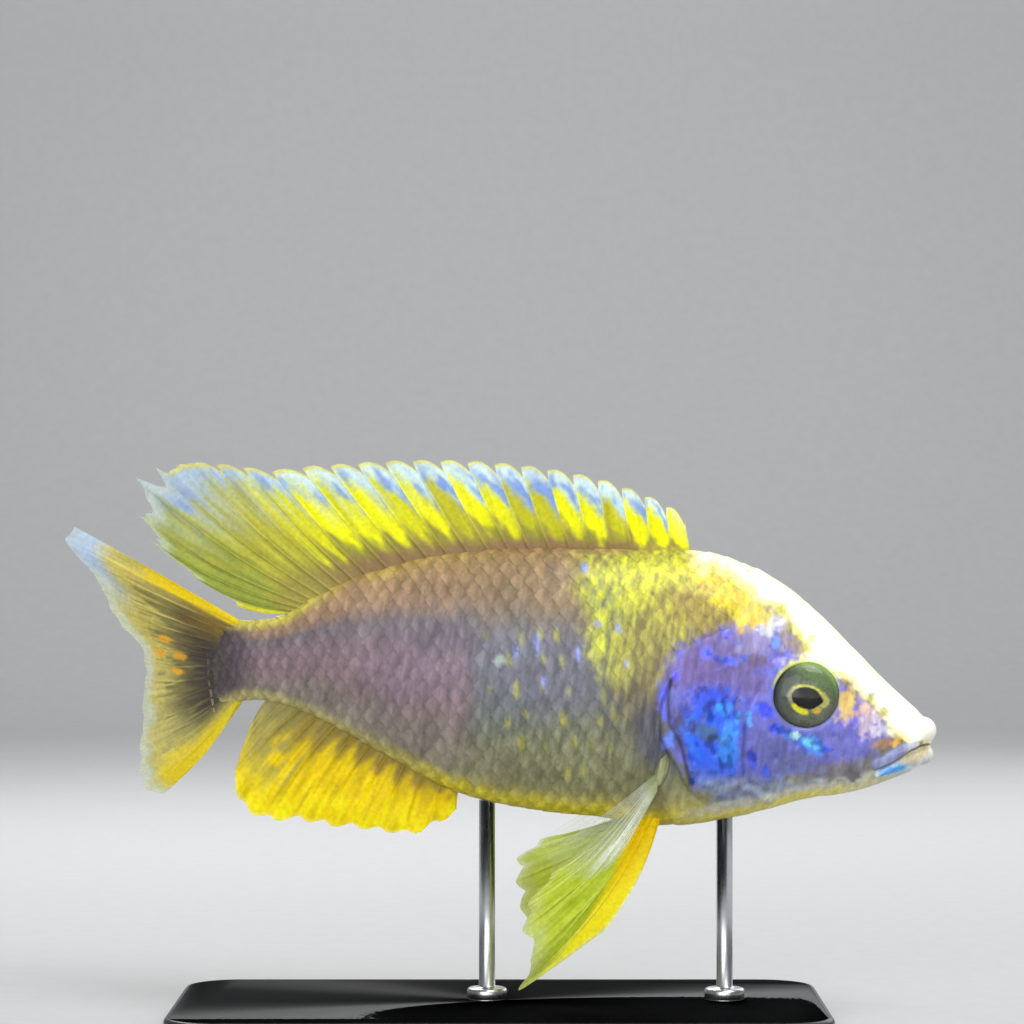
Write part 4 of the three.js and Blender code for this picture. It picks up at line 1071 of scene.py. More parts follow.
charts = {"right": flank_chart(-1), "left": flank_chart(1)}
shoulder_top, shoulder_low = (np.interp(23, chart_x, charts["right"][k]) for k in (2, 3))
print("girth at the shoulder:", round(float(2 * (shoulder_low - shoulder_top)), 1), "mm")

# %% Lay-out of the scales
FIRST_SCALE_X, ROW_STEP = 43, 0.80
pitch_at = smooth_line([
    (-47.6, 1.3), (-43.6, 1.7), (-30, 2.2), (-10, 2.6), (8, 2.75), (24, 2.55), (34, 2.0), (42, 1.5),
])
BARE_RIM = 0.45
BARE_ROUND_PECTORAL = {"x": 25.2, "z": 39.8, "radius": 2.3}


def scale_places(side_sign, seed):
    """Where the roots of one flank's scales go: x, arc, size, row number and four random numbers."""
    draw = np.random.default_rng(seed)
    along = np.linspace(FIRST_SCALE_X, SKIN_END_X + 0.6, 1500)
    count = np.concatenate([[0], np.cumsum(-np.diff(along) / pitch_at(along[:-1]))])
    chart = charts["left" if side_sign > 0 else "right"]
    places = []
    for row in range(-20, 21):
        start = 0.5 * (row % 2)
        for number in np.arange(start, count[-1], 1.0):
            x = float(np.interp(number, count, along)) + draw.uniform(-0.12, 0.12)
            pitch = float(pitch_at(x))
            arc = row * pitch * ROW_STEP + draw.uniform(-0.07, 0.07)
            random_four = draw.random(4)
            top, low = np.interp(x, chart_x, chart[2]), np.interp(x, chart_x, chart[3])
            if not top + BARE_RIM < arc < low - BARE_RIM:
                continue
            point = chart_read(chart, np.array([x]), np.array([arc]))[0][0]
            if scaled_area(point[0], point[2]) < 0.5:
                continue
            ahead, up = point[0] - BARE_ROUND_PECTORAL["x"], point[2] - BARE_ROUND_PECTORAL["z"]
            if np.hypot(ahead, up * 0.5) < BARE_ROUND_PECTORAL["radius"]:
                continue
            places.append((x, arc, pitch, row, *random_four))
    return np.array(places)


# %% Shape of the scales
SCALE_ACROSS, SCALE_ALONG = 7, 10
# Shares of a scale's pitch: how far its root lies ahead of its place, its length and half its width
ROOT_AHEAD, SCALE_LENGTH, SCALE_HALF = 0.72, 1.75, 0.80
# Heights over the plain body: of the root, of the rise to the free rim, and of the crown between
ROOT_HEIGHT, SCALE_RISE, SCALE_CROWN = -0.31, 0.26, 0.05
# The scales of these two rows have the tubes of the lateral line, ahead of and behind a place on the flank
LATERAL_ROWS = {"front": -5, "rear": 0}
LATERAL_BREAK_X, TUBE_HEIGHT = -16, 0.12
SCALE_PATCH = 0.003


def scale_grid():
    """A scale's own grid: u from -1 to 1 across it and v from 0 at the root to 1 at the free rim."""
    u, v = np.meshgrid(np.linspace(-1, 1, SCALE_ACROSS), np.linspace(0, 1, SCALE_ALONG), indexing="ij")
    return np.sign(u) * np.abs(u) ** 0.85, v ** 0.9


def per_scale(values):
    """One value for each scale, ready to meet the grid of points on it."""
    return values[:, None, None]


def scale_shape(chart, x0, arc0, pitch, row, r1, r2, r3):
    """Upper and under points of all scales of a flank, and the places on the plain body below them."""
    u, v = scale_grid()
    rear = ease(v, 0.3, 1.0) * 0.999
    half = 0.97 * np.sqrt(1 - rear**2) * (0.72 + 0.28 * ease(v, 0, 0.3))
    size = per_scale(pitch * (0.97 + 0.08 * r1))
    x = per_scale(x0) + size * ROOT_AHEAD - size * SCALE_LENGTH * v
    arc = per_scale(arc0) + size * SCALE_HALF * half * u + size * 0.04 * per_scale(r2 - 0.5) * v
    point, normal = chart_read(chart, x, arc)
    normal = normal / np.linalg.norm(normal, axis=-1, keepdims=True)
    pore_row = np.where(x0 > LATERAL_BREAK_X, LATERAL_ROWS["front"], LATERAL_ROWS["rear"])
    tube = TUBE_HEIGHT * ridge(u, 0, 0.2) * ease(v, 0.42, 0.55) * ease(v, 0.95, 0.8)
    height = ROOT_HEIGHT + SCALE_RISE * v**0.85 + SCALE_CROWN * (1 - u**2) * (1 - v**2)
    height = height + tube * per_scale(row == pore_row)
    height = height + 0.04 * per_scale(r3 - 0.5) * v + relief(point[..., 0], point[..., 2])
    thick = 0.02 + 0.10 * (1 - u**2) * (1 - v) + 0.03 * (1 - np.maximum(u**2, v**3))
    return point + normal * height[..., None], point + normal * (height - thick)[..., None], point


def scale_shade(r4):
    """How light each point of a scale is: its own tone, a darker rim, a painted shadow where the scale ahead
    overlaps it, and a painted highlight near its free rim.
    """
    u, v = scale_grid()
    own = per_scale(0.92 + 0.16 * r4)
    rim = 1 - 0.15 * np.maximum(ease(v, 0.90, 0.99), ease(np.abs(u), 0.86, 1.0) * ease(v, 0.3, 0.6))
    # Painted shadow behind the rim of the scale ahead, and a painted highlight near this scale's free rim
    overlap_shadow_and_highlight = 1 - 0.16 * ease(v, 0.78, 0.52) + 0.14 * ridge(v, 0.84, 0.1) * ridge(u, 0, 0.6)
    return (own * rim * overlap_shadow_and_highlight).reshape(-1, 1)


# %% Coats of scales
def scale_coat(name, side_sign, seed, shift):
    """All scales of one flank as one mesh of closed plates."""
    chart = charts["left" if side_sign > 0 else "right"]
    x0, arc0, pitch, row, r1, r2, r3, r4 = scale_places(side_sign, seed).T
    upper, under, shown = scale_shape(chart, x0, arc0, pitch, row, r1, r2, r3)
    coat = paint(shown[..., 0], shown[..., 2], shift)
    shade = scale_shade(r4)
    count, cells = len(x0), SCALE_ACROSS * SCALE_ALONG

    def both_sides(values):
        """The values of each scale's upper points, given to its under points too."""
        return np.concatenate([values.reshape(count, cells, -1)] * 2, axis=1)

    points = np.concatenate([upper.reshape(count, cells, 3), under.reshape(count, cells, 3)], axis=1)
    one = plate_faces(SCALE_ACROSS, SCALE_ALONG)
    faces = (one + per_scale(np.arange(count) * 2 * cells)).reshape(-1, 4)
    u, v = scale_grid()
    root_u = 0.03 + 0.94 * (x0 - SKIN_END_X + 1) / 94
    root_v = 0.03 + 0.94 * (arc0 + 40) / 80
    bake_u = per_scale(root_u) + SCALE_PATCH * (v - 0.5)
    bake_v = per_scale(root_v) + SCALE_PATCH * 0.5 * u
    piece = make_mesh(
        name, points.reshape(-1, 3), [faces],
        {"ground": both_sides(coat.ground * shade), "streak": both_sides(coat.streak * shade)},
        {"cover": both_sides(coat.cover), "shine": both_sides(np.clip(coat.shine + 0.10, 0, 1))},
        both_sides(np.stack([bake_u, bake_v], -1)).reshape(-1, 2), crease=50,
    )
    print(name, "has", count, "scales")
    return settle(piece, "flank_skin", scale_finish)


scale_coat("scales_right", -1, 21, 0)
scale_coat("scales_left", 1, 22, 3)

# %% [markdown]
# ## Fins
#
# A fin is a web of skin stretched over a fan of rays. The hard spines of the dorsal fin stay single; soft
# rays split in two and again towards the edge, where the web between them ends in a fine fringe. Each ray is
# a curve from the body to the tip, and the sheet between them is a grid that runs along and across the
# rays. Two faces, a few tenths of a millimetre apart, make it a closed thin solid, and a ray is simply
# where the two faces stand further apart. The web of the spiny part billows a little between its spines.

# %% Fin tools
EDGE_STEPS = 600
# Where a soft ray's branches go, in shares of the distance between rays, and how wide a ray's ridge is
BRANCH_SPREAD, TWIG_SPREAD, TWIGS_LATER = 0.22, 0.10, 0.3
RAY_TIP_WIDTH, RAY_FOOT_EXTRA = 0.12, 0.13


def along_edge(points, shares):
    """Places along a smooth line through a few points, by share of its length."""
    dense = path_points(points, EDGE_STEPS)
    run = lengths_along(dense)
    return np.stack([np.interp(np.asarray(shares) * run[-1], run, column) for column in dense.T], -1)


def bent_ray(root, tip, bow):
    """Root, bending point and tip of a ray that bows sideways by a share of its length."""
    run = tip - root
    middle = (root + tip) / 2 + np.array([-run[2] * bow, 0, run[0] * bow])
    return np.array([root, middle, tip])


def across_rays(rays, place):
    """The three points of the curve at any place between the rays."""
    numbers = np.arange(len(rays))
    flat = np.array(rays).reshape(len(rays), 9)
    lines = [smooth_line(list(zip(numbers, column)))(place) for column in flat.T]
    return np.stack(lines, -1).reshape(-1, 3, 3)


def from_ray(share):
    """How far a place on the web is from the nearer of its two rays, in shares of their distance."""
    return np.minimum(share, 1 - share)


def ray_ridges(place, t, spacing, soft, split_from):
    """1 on a ray and on the branches it splits into, falling to 0 on the web beside them."""
    branch = soft * BRANCH_SPREAD * ease(t, split_from, 1.0)
    twig = soft * TWIG_SPREAD * ease(t, split_from + TWIGS_LATER, 1.0)
    away = np.abs(np.abs(np.abs(place - np.round(place)) - branch) - twig)
    return ridge(np.minimum(away * spacing, 4), 0, RAY_TIP_WIDTH + RAY_FOOT_EXTRA * (1 - t))


print("middle of the web:", from_ray(0.5), "from each ray")

# %% Fin sheet
def fin_sheet(name, rays, rows, per_ray, look, cut, thick, sway, seed, slot, node,
              soft_from=0, web=0.2, split_from=0.45, billow=0.0, root_fill=0.0):
    """A fin from its rays, of which those from the number soft_from on are soft and split towards the edge.

    At a place between the rays and a share t of their length, look gives the tint and how solid the fin is.
    By place, and by share of the way to the next ray, cut gives how far the web stops short of the tips.
    """
    last = len(rays) - 1
    offsets = np.linspace(0, 1, per_ray, endpoint=False)
    offsets = offsets - 0.09 * np.sin(2 * math.pi * offsets)
    line = np.append((np.arange(last)[:, None] + offsets).ravel(), last)
    bends = across_rays(rays, line)
    place = line[:, None]
    share = place - np.floor(place)
    lengths = np.linalg.norm(bends[:, 2] - bends[:, 0], axis=-1)[:, None]
    kept = 1 - cut(place, share) / lengths
    t = np.linspace(0, 1, rows + 1) * kept
    root, bend, tip = (bends[:, k, None] for k in range(3))
    tt = t[..., None]
    points = (1 - tt) ** 2 * root + 2 * tt * (1 - tt) * bend + tt**2 * tip
    normal = outward(points)
    spacing = np.linalg.norm(np.gradient(points, axis=0), axis=-1) / np.gradient(line)[:, None]
    soft = ease(place, soft_from - 0.6, soft_from + 0.4) if soft_from else 1.0
    on_ray = ray_ridges(place, t, spacing, soft, split_from)
    full = (thick[0] + (thick[1] - thick[0]) * t) * (1 - 0.35 * soft * ease(t, split_from, 1))
    size = web * (1 - 0.35 * t) + np.maximum(full - web, 0.05) * on_ray
    size = size + root_fill * ease(t, 0.4, 0) * (1 - on_ray)
    wave = billow * np.sin(2 * math.pi * share) * np.sin(math.pi * np.clip(t, 0, 1)) ** 0.7
    slow = sway * t**1.5 * (cloud(place + 0 * t, t * 3.0, 2.6, 1.3, seed) - 0.5)
    points = points + normal * (wave + slow)[..., None]
    half = normal * size[..., None] / 2
    tint, solid = look(place + 0 * t, t / kept, on_ray, points[..., 0], points[..., 2])
    front_map = np.stack([0.01 + 0.48 * place / last + 0 * t, 0.02 + 0.96 * t], -1).reshape(-1, 2)
    both = np.concatenate([points + half, points - half]).reshape(-1, 3)
    piece = make_mesh(
        name, both, [plate_faces(len(line), rows + 1)], {"tint": np.concatenate([tint, tint])},
        {"solid": np.clip(np.concatenate([solid, solid]), 0, 1)},
        np.concatenate([front_map, front_map + [0.5, 0]]), crease=60,
    )
    return settle(piece, slot, fin_finish, node)


def fine_lines(place, t, seed):
    """Uneven lighter and darker lines along the rays, around 1."""
    narrow = cloud(place * 7, t * 3, 0.8, 0.9, seed) - 0.5
    wide = cloud(place * 2.6, t * 5, 0.8, 0.9, seed + 1) - 0.5
    return (1 + 0.34 * narrow + 0.18 * wide)[..., None]


print("fine lines vary by", float(np.ptp(fine_lines(np.arange(9.0), 0.5, 61)).round(2)))

# %% Fin material
def fin_material(name, glow):
    """Web and rays with their own tint. Part of the light passes through, and thin edges turn clear."""
    material, add = new_material(name)
    place = add("TexCoord").outputs["Object"]
    colour = speckled(add, on_mesh(add, "tint", "Color"), 1400.0, 0.12, place)
    grain = noise(add, place, 2600.0, 3.0)
    front = add("BsdfPrincipled", {
        "Base Color": colour, "Roughness": 0.5, "Normal": bumped(add, grain, 0.3, 0.00004),
        "Specular IOR Level": 0.22, "Coat Weight": 0.08, "Coat Roughness": 0.2,
    })
    through = add("BsdfTranslucent", {"Color": colour})
    surface = add("MixShader", {0: glow, 1: front.outputs["BSDF"], 2: through.outputs["BSDF"]})
    bare = add("BsdfTransparent")
    veil = add("MixShader", {0: on_mesh(add, "solid"), 1: bare.outputs["BSDF"], 2: surface.outputs["Shader"]})
    return finished(material, add, veil.outputs["Shader"])


fin_finish = fin_material("fin web", 0.35)
print("material:", fin_finish.name)

# %% [markdown]
# ## Dorsal fin
#
# Sixteen thin spines and then ten soft rays. Between two spines the web ends in a round lobe, lowest just
# behind the front spine and drawn up to the tip of the rear one. The foot of the fin is brown like the back,
# and from it a pointed yellow tongue rises in each web. Above it lies a pale blue patch that reaches
# lower in front, and a thin yellow line ends the lobe. The last soft rays are drawn out into loose threads.

# %% Dorsal fin
FIN_SWING = 0.75
FIN_SUNK = 1.1
SPINES = 16
DORSAL_START_X, SPINE_END_X, DORSAL_END_X = 30.8, -17.4, -32.4
DORSAL_SPINE_EDGE = [(29.6, 81.4), (24.1, 84.3), (15, 87.4), (1.4, 89.6), (-14, 90.2), (-31.8, 89.2)]
DORSAL_SOFT_TIPS = [
    (-36.8, 88.7), (-41.6, 89.3), (-46, 89.8), (-50.8, 90.2), (-56.4, 89.8), (-60, 88.3), (-59.9, 82.4),
    (-57.8, 78.2), (-51.2, 72.6), (-43.6, 67.4),
]
# Where the blue band starts, as a share of the ray's length, by place along the fin
DORSAL_BAND = ([0, 3, 6, 12, 15, 18, 20.4, 21.4, 22.2], [0.72, 0.60, 0.58, 0.64, 0.72, 0.80, 0.70, 0.84, 1.1])
LAST_RAY = SPINES + len(DORSAL_SOFT_TIPS) - 1


def middle_ray(x, z, tip, bow):
    """A ray of a middle fin, whose tip follows the bend of the body part of the way."""
    swing = FIN_SWING * (bend_at(tip[0]) - bend_at(x))
    root = np.array([x, float(bend_at(x)), z])
    return bent_ray(root, np.array([tip[0], float(bend_at(x) + swing), tip[1]]), bow)


def dorsal_rays():
    spine_share = np.linspace(0, 1, SPINES)
    soft_share = np.linspace(0, 1, len(DORSAL_SOFT_TIPS))
    tips = [*along_edge(DORSAL_SPINE_EDGE, spine_share**1.08), *DORSAL_SOFT_TIPS]
    spine_roots = DORSAL_START_X + (SPINE_END_X - DORSAL_START_X) * spine_share
    soft_place = 1 - (1 - (0.14 + 0.86 * soft_share)) ** 1.7
    soft_roots = SPINE_END_X + (DORSAL_END_X - SPINE_END_X) * soft_place
    rays = []
    for i, x in enumerate(np.concatenate([spine_roots, soft_roots])):
        soft = max(0, i - SPINES + 1) / len(DORSAL_SOFT_TIPS)
        rays.append(middle_ray(x, float(back_at(x)) - FIN_SUNK, tips[i], 0.03 + 0.12 * soft**2))
    return rays


print("rays of the dorsal fin:", len(dorsal_rays()))

# %% Dorsal fin's edge and colours
def dorsal_cut(place, share):
    """How far the web stops short of the line through the tips."""
    soft = ease(place, SPINES + 2.2, SPINES + 3.4)
    lobe = 1.9 * ease(share, 0.0, 0.04) * (1 - share) ** 2.4 - 0.75 * np.sin(math.pi * share**0.8) + 0.1
    thread = ease(place, 19.2, 20.4)
    fringe = (0.4 + 3.4 * thread) * np.minimum(from_ray(share) / 0.4, 1) ** 0.6
    fringe = fringe + 1.5 * cloud(place * 2.4, 0 * place, 0.5, 1.0, 2) * (0.2 + thread)
    return np.where(place > LAST_RAY - 0.001, 0.4, lobe * (1 - soft) + fringe * soft)


def dorsal_look(place, t, on_ray, *_):
    """Brown foot, yellow tongues, blue band and yellow edge, with a green web between the soft rays."""
    own = np.random.default_rng(52).random((30, 3))[np.floor(place).astype(int)]
    lean = place - np.floor(place) - 0.5
    rough = cloud(place * 2.2, t * 9, 0.5, 0.8, 4) - 0.5
    lines = fine_lines(place, t, 61)
    foot = mix((0.66, 0.60, 0.10), (0.38, 0.25, 0.11), ease(place, 1.2, 3.4))
    foot = mix(foot, (0.46, 0.40, 0.08), ease(place, 15, 21))
    between = mix((0.52, 0.46, 0.06), (0.40, 0.38, 0.06), own[..., 2])
    tint = mix(foot, between * lines, ease(t + 0.1 * rough, 0.10, 0.26))
    vivid = mix((0.96, 0.96, 0.0), (0.64, 0.62, 0.02), ease(own[..., 0], 0.35, 0.9) * ease(place, 2, 4))
    tongue_low = 0.10 + 0.5 * np.abs(lean + 0.12) ** 1.3
    tongue_low = tongue_low + 0.12 * own[..., 1] * ease(place, 1, 4) + 0.16 * rough
    tongue = ease(t, tongue_low - 0.03, tongue_low + 0.15) * ease(place, 22.5, 16)
    tint = mix(tint, vivid * (0.35 + 0.65 * lines), tongue)
    rear = ease(place, 15.5, 19)
    green = mix((0.62, 0.60, 0.07), (0.38, 0.46, 0.07), ease(place + 3 * rough, 19.5, 23))
    green = mix(green, (0.56, 0.62, 0.34), 0.7 * ease(t + 0.2 * rough, 0.55, 0.8) * ease(place, 23, 20))
    tint = mix(tint, green * lines, 0.85 * rear * ease(t, 0.14, 0.3))
    band_low = np.interp(place, *DORSAL_BAND) + 0.30 * lean * ease(place, 17, 14) + 0.16 * rough
    blue = mix((0.30, 0.48, 0.88), (0.64, 0.85, 0.96), ease(own[..., 1] + 1.1 * rough, 0.2, 0.7))
    blue = mix(blue, (0.40, 0.52, 0.82), 0.8 * rear)
    pale = mix(blue, (0.82, 0.96, 0.98), 0.8 * ease(t + 0.2 * rough, 0.76, 0.95) * (1 - 0.6 * rear))
    band = ease(t, band_low - 0.02, band_low + 0.2)
    haze = ease(t, 0.4, 0.75) * ease(cloud(place * 5, t * 2.5, 0.8, 0.9, 67), 0.35, 0.65)
    tint = mix(tint, (0.66, 0.74, 0.66), 0.5 * haze * ease(place, 9, 15) * ease(place, 22.5, 20))
    tint = mix(tint, pale * (0.5 + 0.5 * lines), 0.94 * band)
    spine = np.minimum(1, 1.4 * on_ray) * ease(t, 0.12, 0.4) * ease(place, 18, 15)
    tint = mix(tint, mix((0.90, 0.88, 0.24), (0.84, 0.94, 0.96), ease(t, 0.45, 0.7)), 0.42 * spine)
    tint = mix(tint, (0.72, 0.70, 0.26), 0.3 * on_ray * rear * (1 - band))
    edge = ease(t, 0.955, 0.985) * ease(place, 21, 19)
    tint = mix(tint, (0.86, 0.80, 0.14), 0.8 * edge)
    tint = mix(tint, (0.96, 0.94, 0.16), ease(place, 1.3, 0.2) * ease(t, 0.2, 0.6) * 0.8)
    thread = ease(place, 19.8, 20.6) * ease(t, 0.84, 0.97)
    tint = mix(tint, (0.70, 0.76, 0.66), 0.6 * thread)
    last_ray = ease(place, LAST_RAY - 0.7, LAST_RAY - 0.1)
    tint = mix(tint, (0.90, 0.84, 0.04), 0.9 * last_ray * ease(t, 0.1, 0.3))
    return tint, 1 - 0.35 * thread - 0.3 * ease(t, 0.985, 1)


fin_sheet(
    "dorsal_fin_web", dorsal_rays(), 56, 16, dorsal_look, dorsal_cut, thick=(0.5, 0.24), sway=1.0, seed=5,
    slot="dorsal_fin", node="dorsal_fin", soft_from=SPINES, web=0.18, billow=0.1,
)

# %% [markdown]
# ## Anal fin
#
# Three spines and nine soft rays in clear golden yellow. The foot is olive brown like the lower flank and
# runs out into the web in points, and the edge is a row of shallow round lobes.

# %% Anal fin
ANAL_RAYS = 12
ANAL_START_X, ANAL_END_X = -6.6, -37
ANAL_EDGE = [
    (-7, 33.2), (-12.7, 30.4), (-25, 31.2), (-35.9, 32), (-41.4, 33.6), (-43.2, 37.5), (-42.4, 42),
    (-40.6, 46.6),
]


def anal_rays():
    rays = []
    tips = along_edge(ANAL_EDGE, np.linspace(0, 1, ANAL_RAYS))
    for i, share in enumerate(np.linspace(0, 1, ANAL_RAYS)):
        x = ANAL_START_X + (ANAL_END_X - ANAL_START_X) * share
        rays.append(middle_ray(x, float(belly_at(x)) + FIN_SUNK, tips[i], -0.02 - 0.08 * share))
    return rays


def anal_cut(place, _):
    lobe = 0.7 * np.abs(np.sin(math.pi * (place + 0.5))) ** 3
    ragged = 1.2 * cloud(place * 1.1, 0 * place, 0.8, 1, 12)
    return np.where(place > ANAL_RAYS - 1.001, 0.2, lobe * ease(place, 11, 8) + ragged)


def anal_look(place, t, on_ray, *_):
    """Gold over a brown foot that runs out in points, and grey brown in the upper rear."""
    rough = cloud(place * 2.4, t * 7, 0.6, 0.9, 13) - 0.5
    lines = fine_lines(place, t, 63)
    gold = mix((0.94, 0.74, 0.0), (1.0, 0.84, 0.0), ease(t, 0.4, 0.9))
    foot = 0.13 + 0.16 * np.abs(np.cos(math.pi * place)) ** 2 + 0.14 * ease(place, 5, 11)
    tint = mix(gold, (0.46, 0.34, 0.07), ease(t + 0.14 * rough, foot + 0.14, foot - 0.1))
    rear = ease(place + 3 * rough, 6.4, 9.6) * ease(t + 0.2 * rough, 1.0, 0.6)
    tint = mix(tint, (0.42, 0.39, 0.12), 0.85 * rear)
    tint = mix(tint, (0.70, 0.52, 0.0), 0.35 * on_ray * ease(t, 0.95, 0.4))
    tint = mix(tint * lines, (1.0, 0.92, 0.10), 0.5 * ease(t, 0.94, 0.99))
    return tint, 1 - 0.35 * ease(t, 0.95, 1) - 0.35 * ease(place, 7.5, 11)


fin_sheet(
    "anal_fin_web", anal_rays(), 44, 16, anal_look, anal_cut, thick=(0.9, 0.3), sway=1.0, seed=7,
    slot="anal_fin", node="anal_fin", soft_from=3, billow=0.12,
)

# %% [markdown]
# ## Tail fin
#
# Sixteen branched rays from the end of the tail stalk, spreading to a forked edge that swings to the fish's
# left. The muscle of the stalk runs out into the roots of the rays, where the fin is nearly black. Dark
# streaks fade along the webs, with three orange spots between them. The upper edge is orange, the lower
# one yellow, and the trailing edge thins to a pale clear border.

# %% Tail fin
CAUDAL_RAYS = 16
CAUDAL_EDGE = [
    (-70.6, 80.0), (-72.3, 79.0), (-71.6, 76.9), (-70, 74.9), (-67.1, 71.9), (-65.1, 68.2), (-62.6, 63.8),
    (-59.4, 60.2), (-58.7, 57.3), (-58.9, 52.2), (-58.9, 46.2), (-59.6, 41.9), (-59.3, 37.8), (-57.9, 35.2),
    (-55.9, 35.3),
]
CAUDAL_TOP_Z, CAUDAL_LOW_Z = 64.6, 51.1
ORANGE_SPOTS = [(-54.6, 61.4), (-52.2, 58.7), (-52.6, 56.2), (-55.6, 59.1)]


def caudal_rays():
    tips = along_edge(CAUDAL_EDGE, np.linspace(0, 1, CAUDAL_RAYS))
    swing = smooth_line([(0, 19), (0.5, 17), (1, 22)])
    rays = []
    for i, share in enumerate(np.linspace(0, 1, CAUDAL_RAYS)):
        z = CAUDAL_TOP_Z + (CAUDAL_LOW_Z - CAUDAL_TOP_Z) * share
        root = np.array([FIN_ROOT_X, float(bend_at(FIN_ROOT_X)), z])
        tip = np.array([tips[i][0], float(swing(share)), tips[i][1]])
        ray = bent_ray(root, tip, 0.10 * share - 0.01)
        ray[1][1] = root[1] + (tip[1] - root[1]) * 0.42
        rays.append(ray)
    return rays


def caudal_cut(place, share):
    return 0.2 * ease(from_ray(share), 0, 0.4) + 0.8 * cloud(place * 1.7, 0 * place, 0.7, 1, 15) ** 2


def caudal_look(place, t, on_ray, x, z):
    """Dark roots and streaks, orange spots, an orange upper and a yellow lower edge, and a clear border."""
    share = place / (CAUDAL_RAYS - 1)
    middle = ease(np.abs(share - 0.45), 0.46, 0.22)
    rough = cloud(place * 3, t * 8, 0.6, 0.9, 16) - 0.5
    lines = fine_lines(place, t, 65)
    tint = mix((0.74, 0.66, 0.20), (0.74, 0.68, 0.26), ease(share, 0.4, 0.8)) * lines
    gold = ease(share + 0.1 * rough, 0.82, 0.95)
    tint = mix(tint, (0.98, 0.84, 0.04), 0.9 * gold * ease(t, 0.95, 0.8))
    streak = ease(1 - on_ray, 0.3, 0.8) * middle * ease(t, 0.16, 0.3) * ease(t + 0.5 * rough, 0.78, 0.5)
    tint = mix(tint, (0.10, 0.09, 0.06), 0.62 * streak)
    dusk = middle * ease(x + 5 * rough, -56, -49)
    tint = mix(tint, (0.15, 0.12, 0.08), 0.75 * dusk)
    dark_root = ease(np.abs(share - 0.5), 0.44, 0.26) * ease(x + 4 * rough, -52.5, -46.5)
    tint = mix(tint, (0.095, 0.08, 0.075), 0.9 * dark_root)
    brown = ease(share, 0.4, 0.2) * ease(x + 4 * rough, -54, -47)
    tint = mix(tint, (0.34, 0.22, 0.05), 0.8 * brown)
    for spot in ORANGE_SPOTS:
        tint = mix(tint, (1.0, 0.60, 0.06), 0.85 * blob(x, z, spot, 1.25, 0.55, -14, 0.4, 0.5))
    edge_up = ease(share + 0.03 * rough, 0.10, 0.05)
    tint = mix(tint, (1.0, 0.80, 0.01), 0.95 * edge_up * ease(t + 0.2 * rough, 0.66, 0.40))
    edge_low = ease(share, 0.90, 0.98)
    tint = mix(tint, (1.0, 0.86, 0.04), 0.9 * edge_low)
    upper_tip = ease(share, 0.36, 0.12) * ease(t + 0.1 * rough, 0.72, 0.88)
    tint = mix(tint, (0.60, 0.74, 0.94), 0.92 * upper_tip)
    border = ease(t + 0.08 * rough, 0.84, 0.97)
    tint = mix(tint, (0.74, 0.80, 0.66), 0.8 * border * (1 - 0.8 * upper_tip))
    return tint, 1 - 0.6 * ease(t + 0.04 * rough, 0.88, 0.99) * (1 - 0.4 * on_ray)


fin_sheet(
    "tail_fin_web", caudal_rays(), 64, 14, caudal_look, caudal_cut, thick=(1.1, 0.3), sway=1.2, seed=9,
    slot="tail_fin", node="caudal_fin", root_fill=1.2,
)

# %% [markdown]
# ## Paired fins
#
# The pelvic fins hang back from the belly, each with one spine and five broad rays; their front edge is
# orange yellow and the web behind it lime. The pectoral fins are as clear as film, with pale rays that catch
# the light, on a short fleshy root behind the gill cover.

# %% Pelvic fins
PELVIC_TIPS = {
    "right": [
        (16.4, -7.2, 15.6), (3.2, -9, 6.9), (4.8, -10, 11.6), (3.6, -10.6, 16.4), (4.6, -10.6, 20.8),
        (8.5, -9, 25.4),
    ],
    "left": [
        (16.6, 8, 17.4), (6.4, 12, 11.6), (3.4, 13, 17.4), (2.6, 13.4, 21.6), (2.8, 13, 25.6), (7, 11, 29),
    ],
}
SIGN = {"right": -1, "left": 1}


def pelvic_rays(name):
    tips = PELVIC_TIPS[name]
    rays = []
    for i, tip in enumerate(tips):
        share = i / (len(tips) - 1)
        x, y = 25.4 - 4 * share, SIGN[name] * (4.6 - 2.2 * share)
        root = np.array([x, y, float(belly_at(x)) + 1.6])
        rays.append(bent_ray(root, np.array(tip, float), 0.12 * (1 - 0.6 * share)))
    return rays


def pelvic_cut(place, share):
    first = ease(place, 1.1, 0.9)
    spine = 0.7 * ease(share, 0, 0.16) * (1 - share) ** 1.4 * first
    return spine + (1 - first) * (1.7 * np.minimum(from_ray(share) / 0.5, 1) ** 1.3)


def pelvic_look(place, t, on_ray, *_):
    """An orange front that gives way to lime, with pale rays and rim."""
    rough = cloud(place * 3, t * 6, 0.6, 0.8, 22) - 0.5
    lines = fine_lines(place * 1.6, t, 69)
    lime = mix((0.58, 0.70, 0.02), (0.66, 0.78, 0.06), ease(t + rough, 0.3, 0.8)) * lines
    orange = mix((1.0, 0.76, 0.0), (1.0, 0.90, 0.0), ease(t, 0.1, 0.6))
    front = 0.75 + 3.6 * np.clip(1 - t, 0, 1) ** 2.4
    tint = mix(orange, lime, ease(place + 0.5 * rough, front - 0.25, front + 0.45))
    shade = ease(place, 3, 5) * ease(t, 0.9, 0.3) * ease(place, front, front + 1)
    tint = mix(tint, (0.38, 0.43, 0.18), 0.8 * shade)
    tint = mix(tint, (0.78, 0.84, 0.40), 0.6 * ease(t, 0.84, 0.98))
    tint = mix(tint, (0.92, 0.94, 0.30), 0.4 * on_ray * ease(t, 0.2, 0.6))
    tint = mix(tint, (0.96, 0.98, 0.60), 0.8 * ease(place, 0.14, 0.03) * ease(t, 0.3, 0.7))
    return tint, 0.97 - 0.45 * ease(place, 2, 5) * (1 - on_ray) * ease(t, 0.3, 0.8) - 0.3 * ease(t, 0.93, 1)


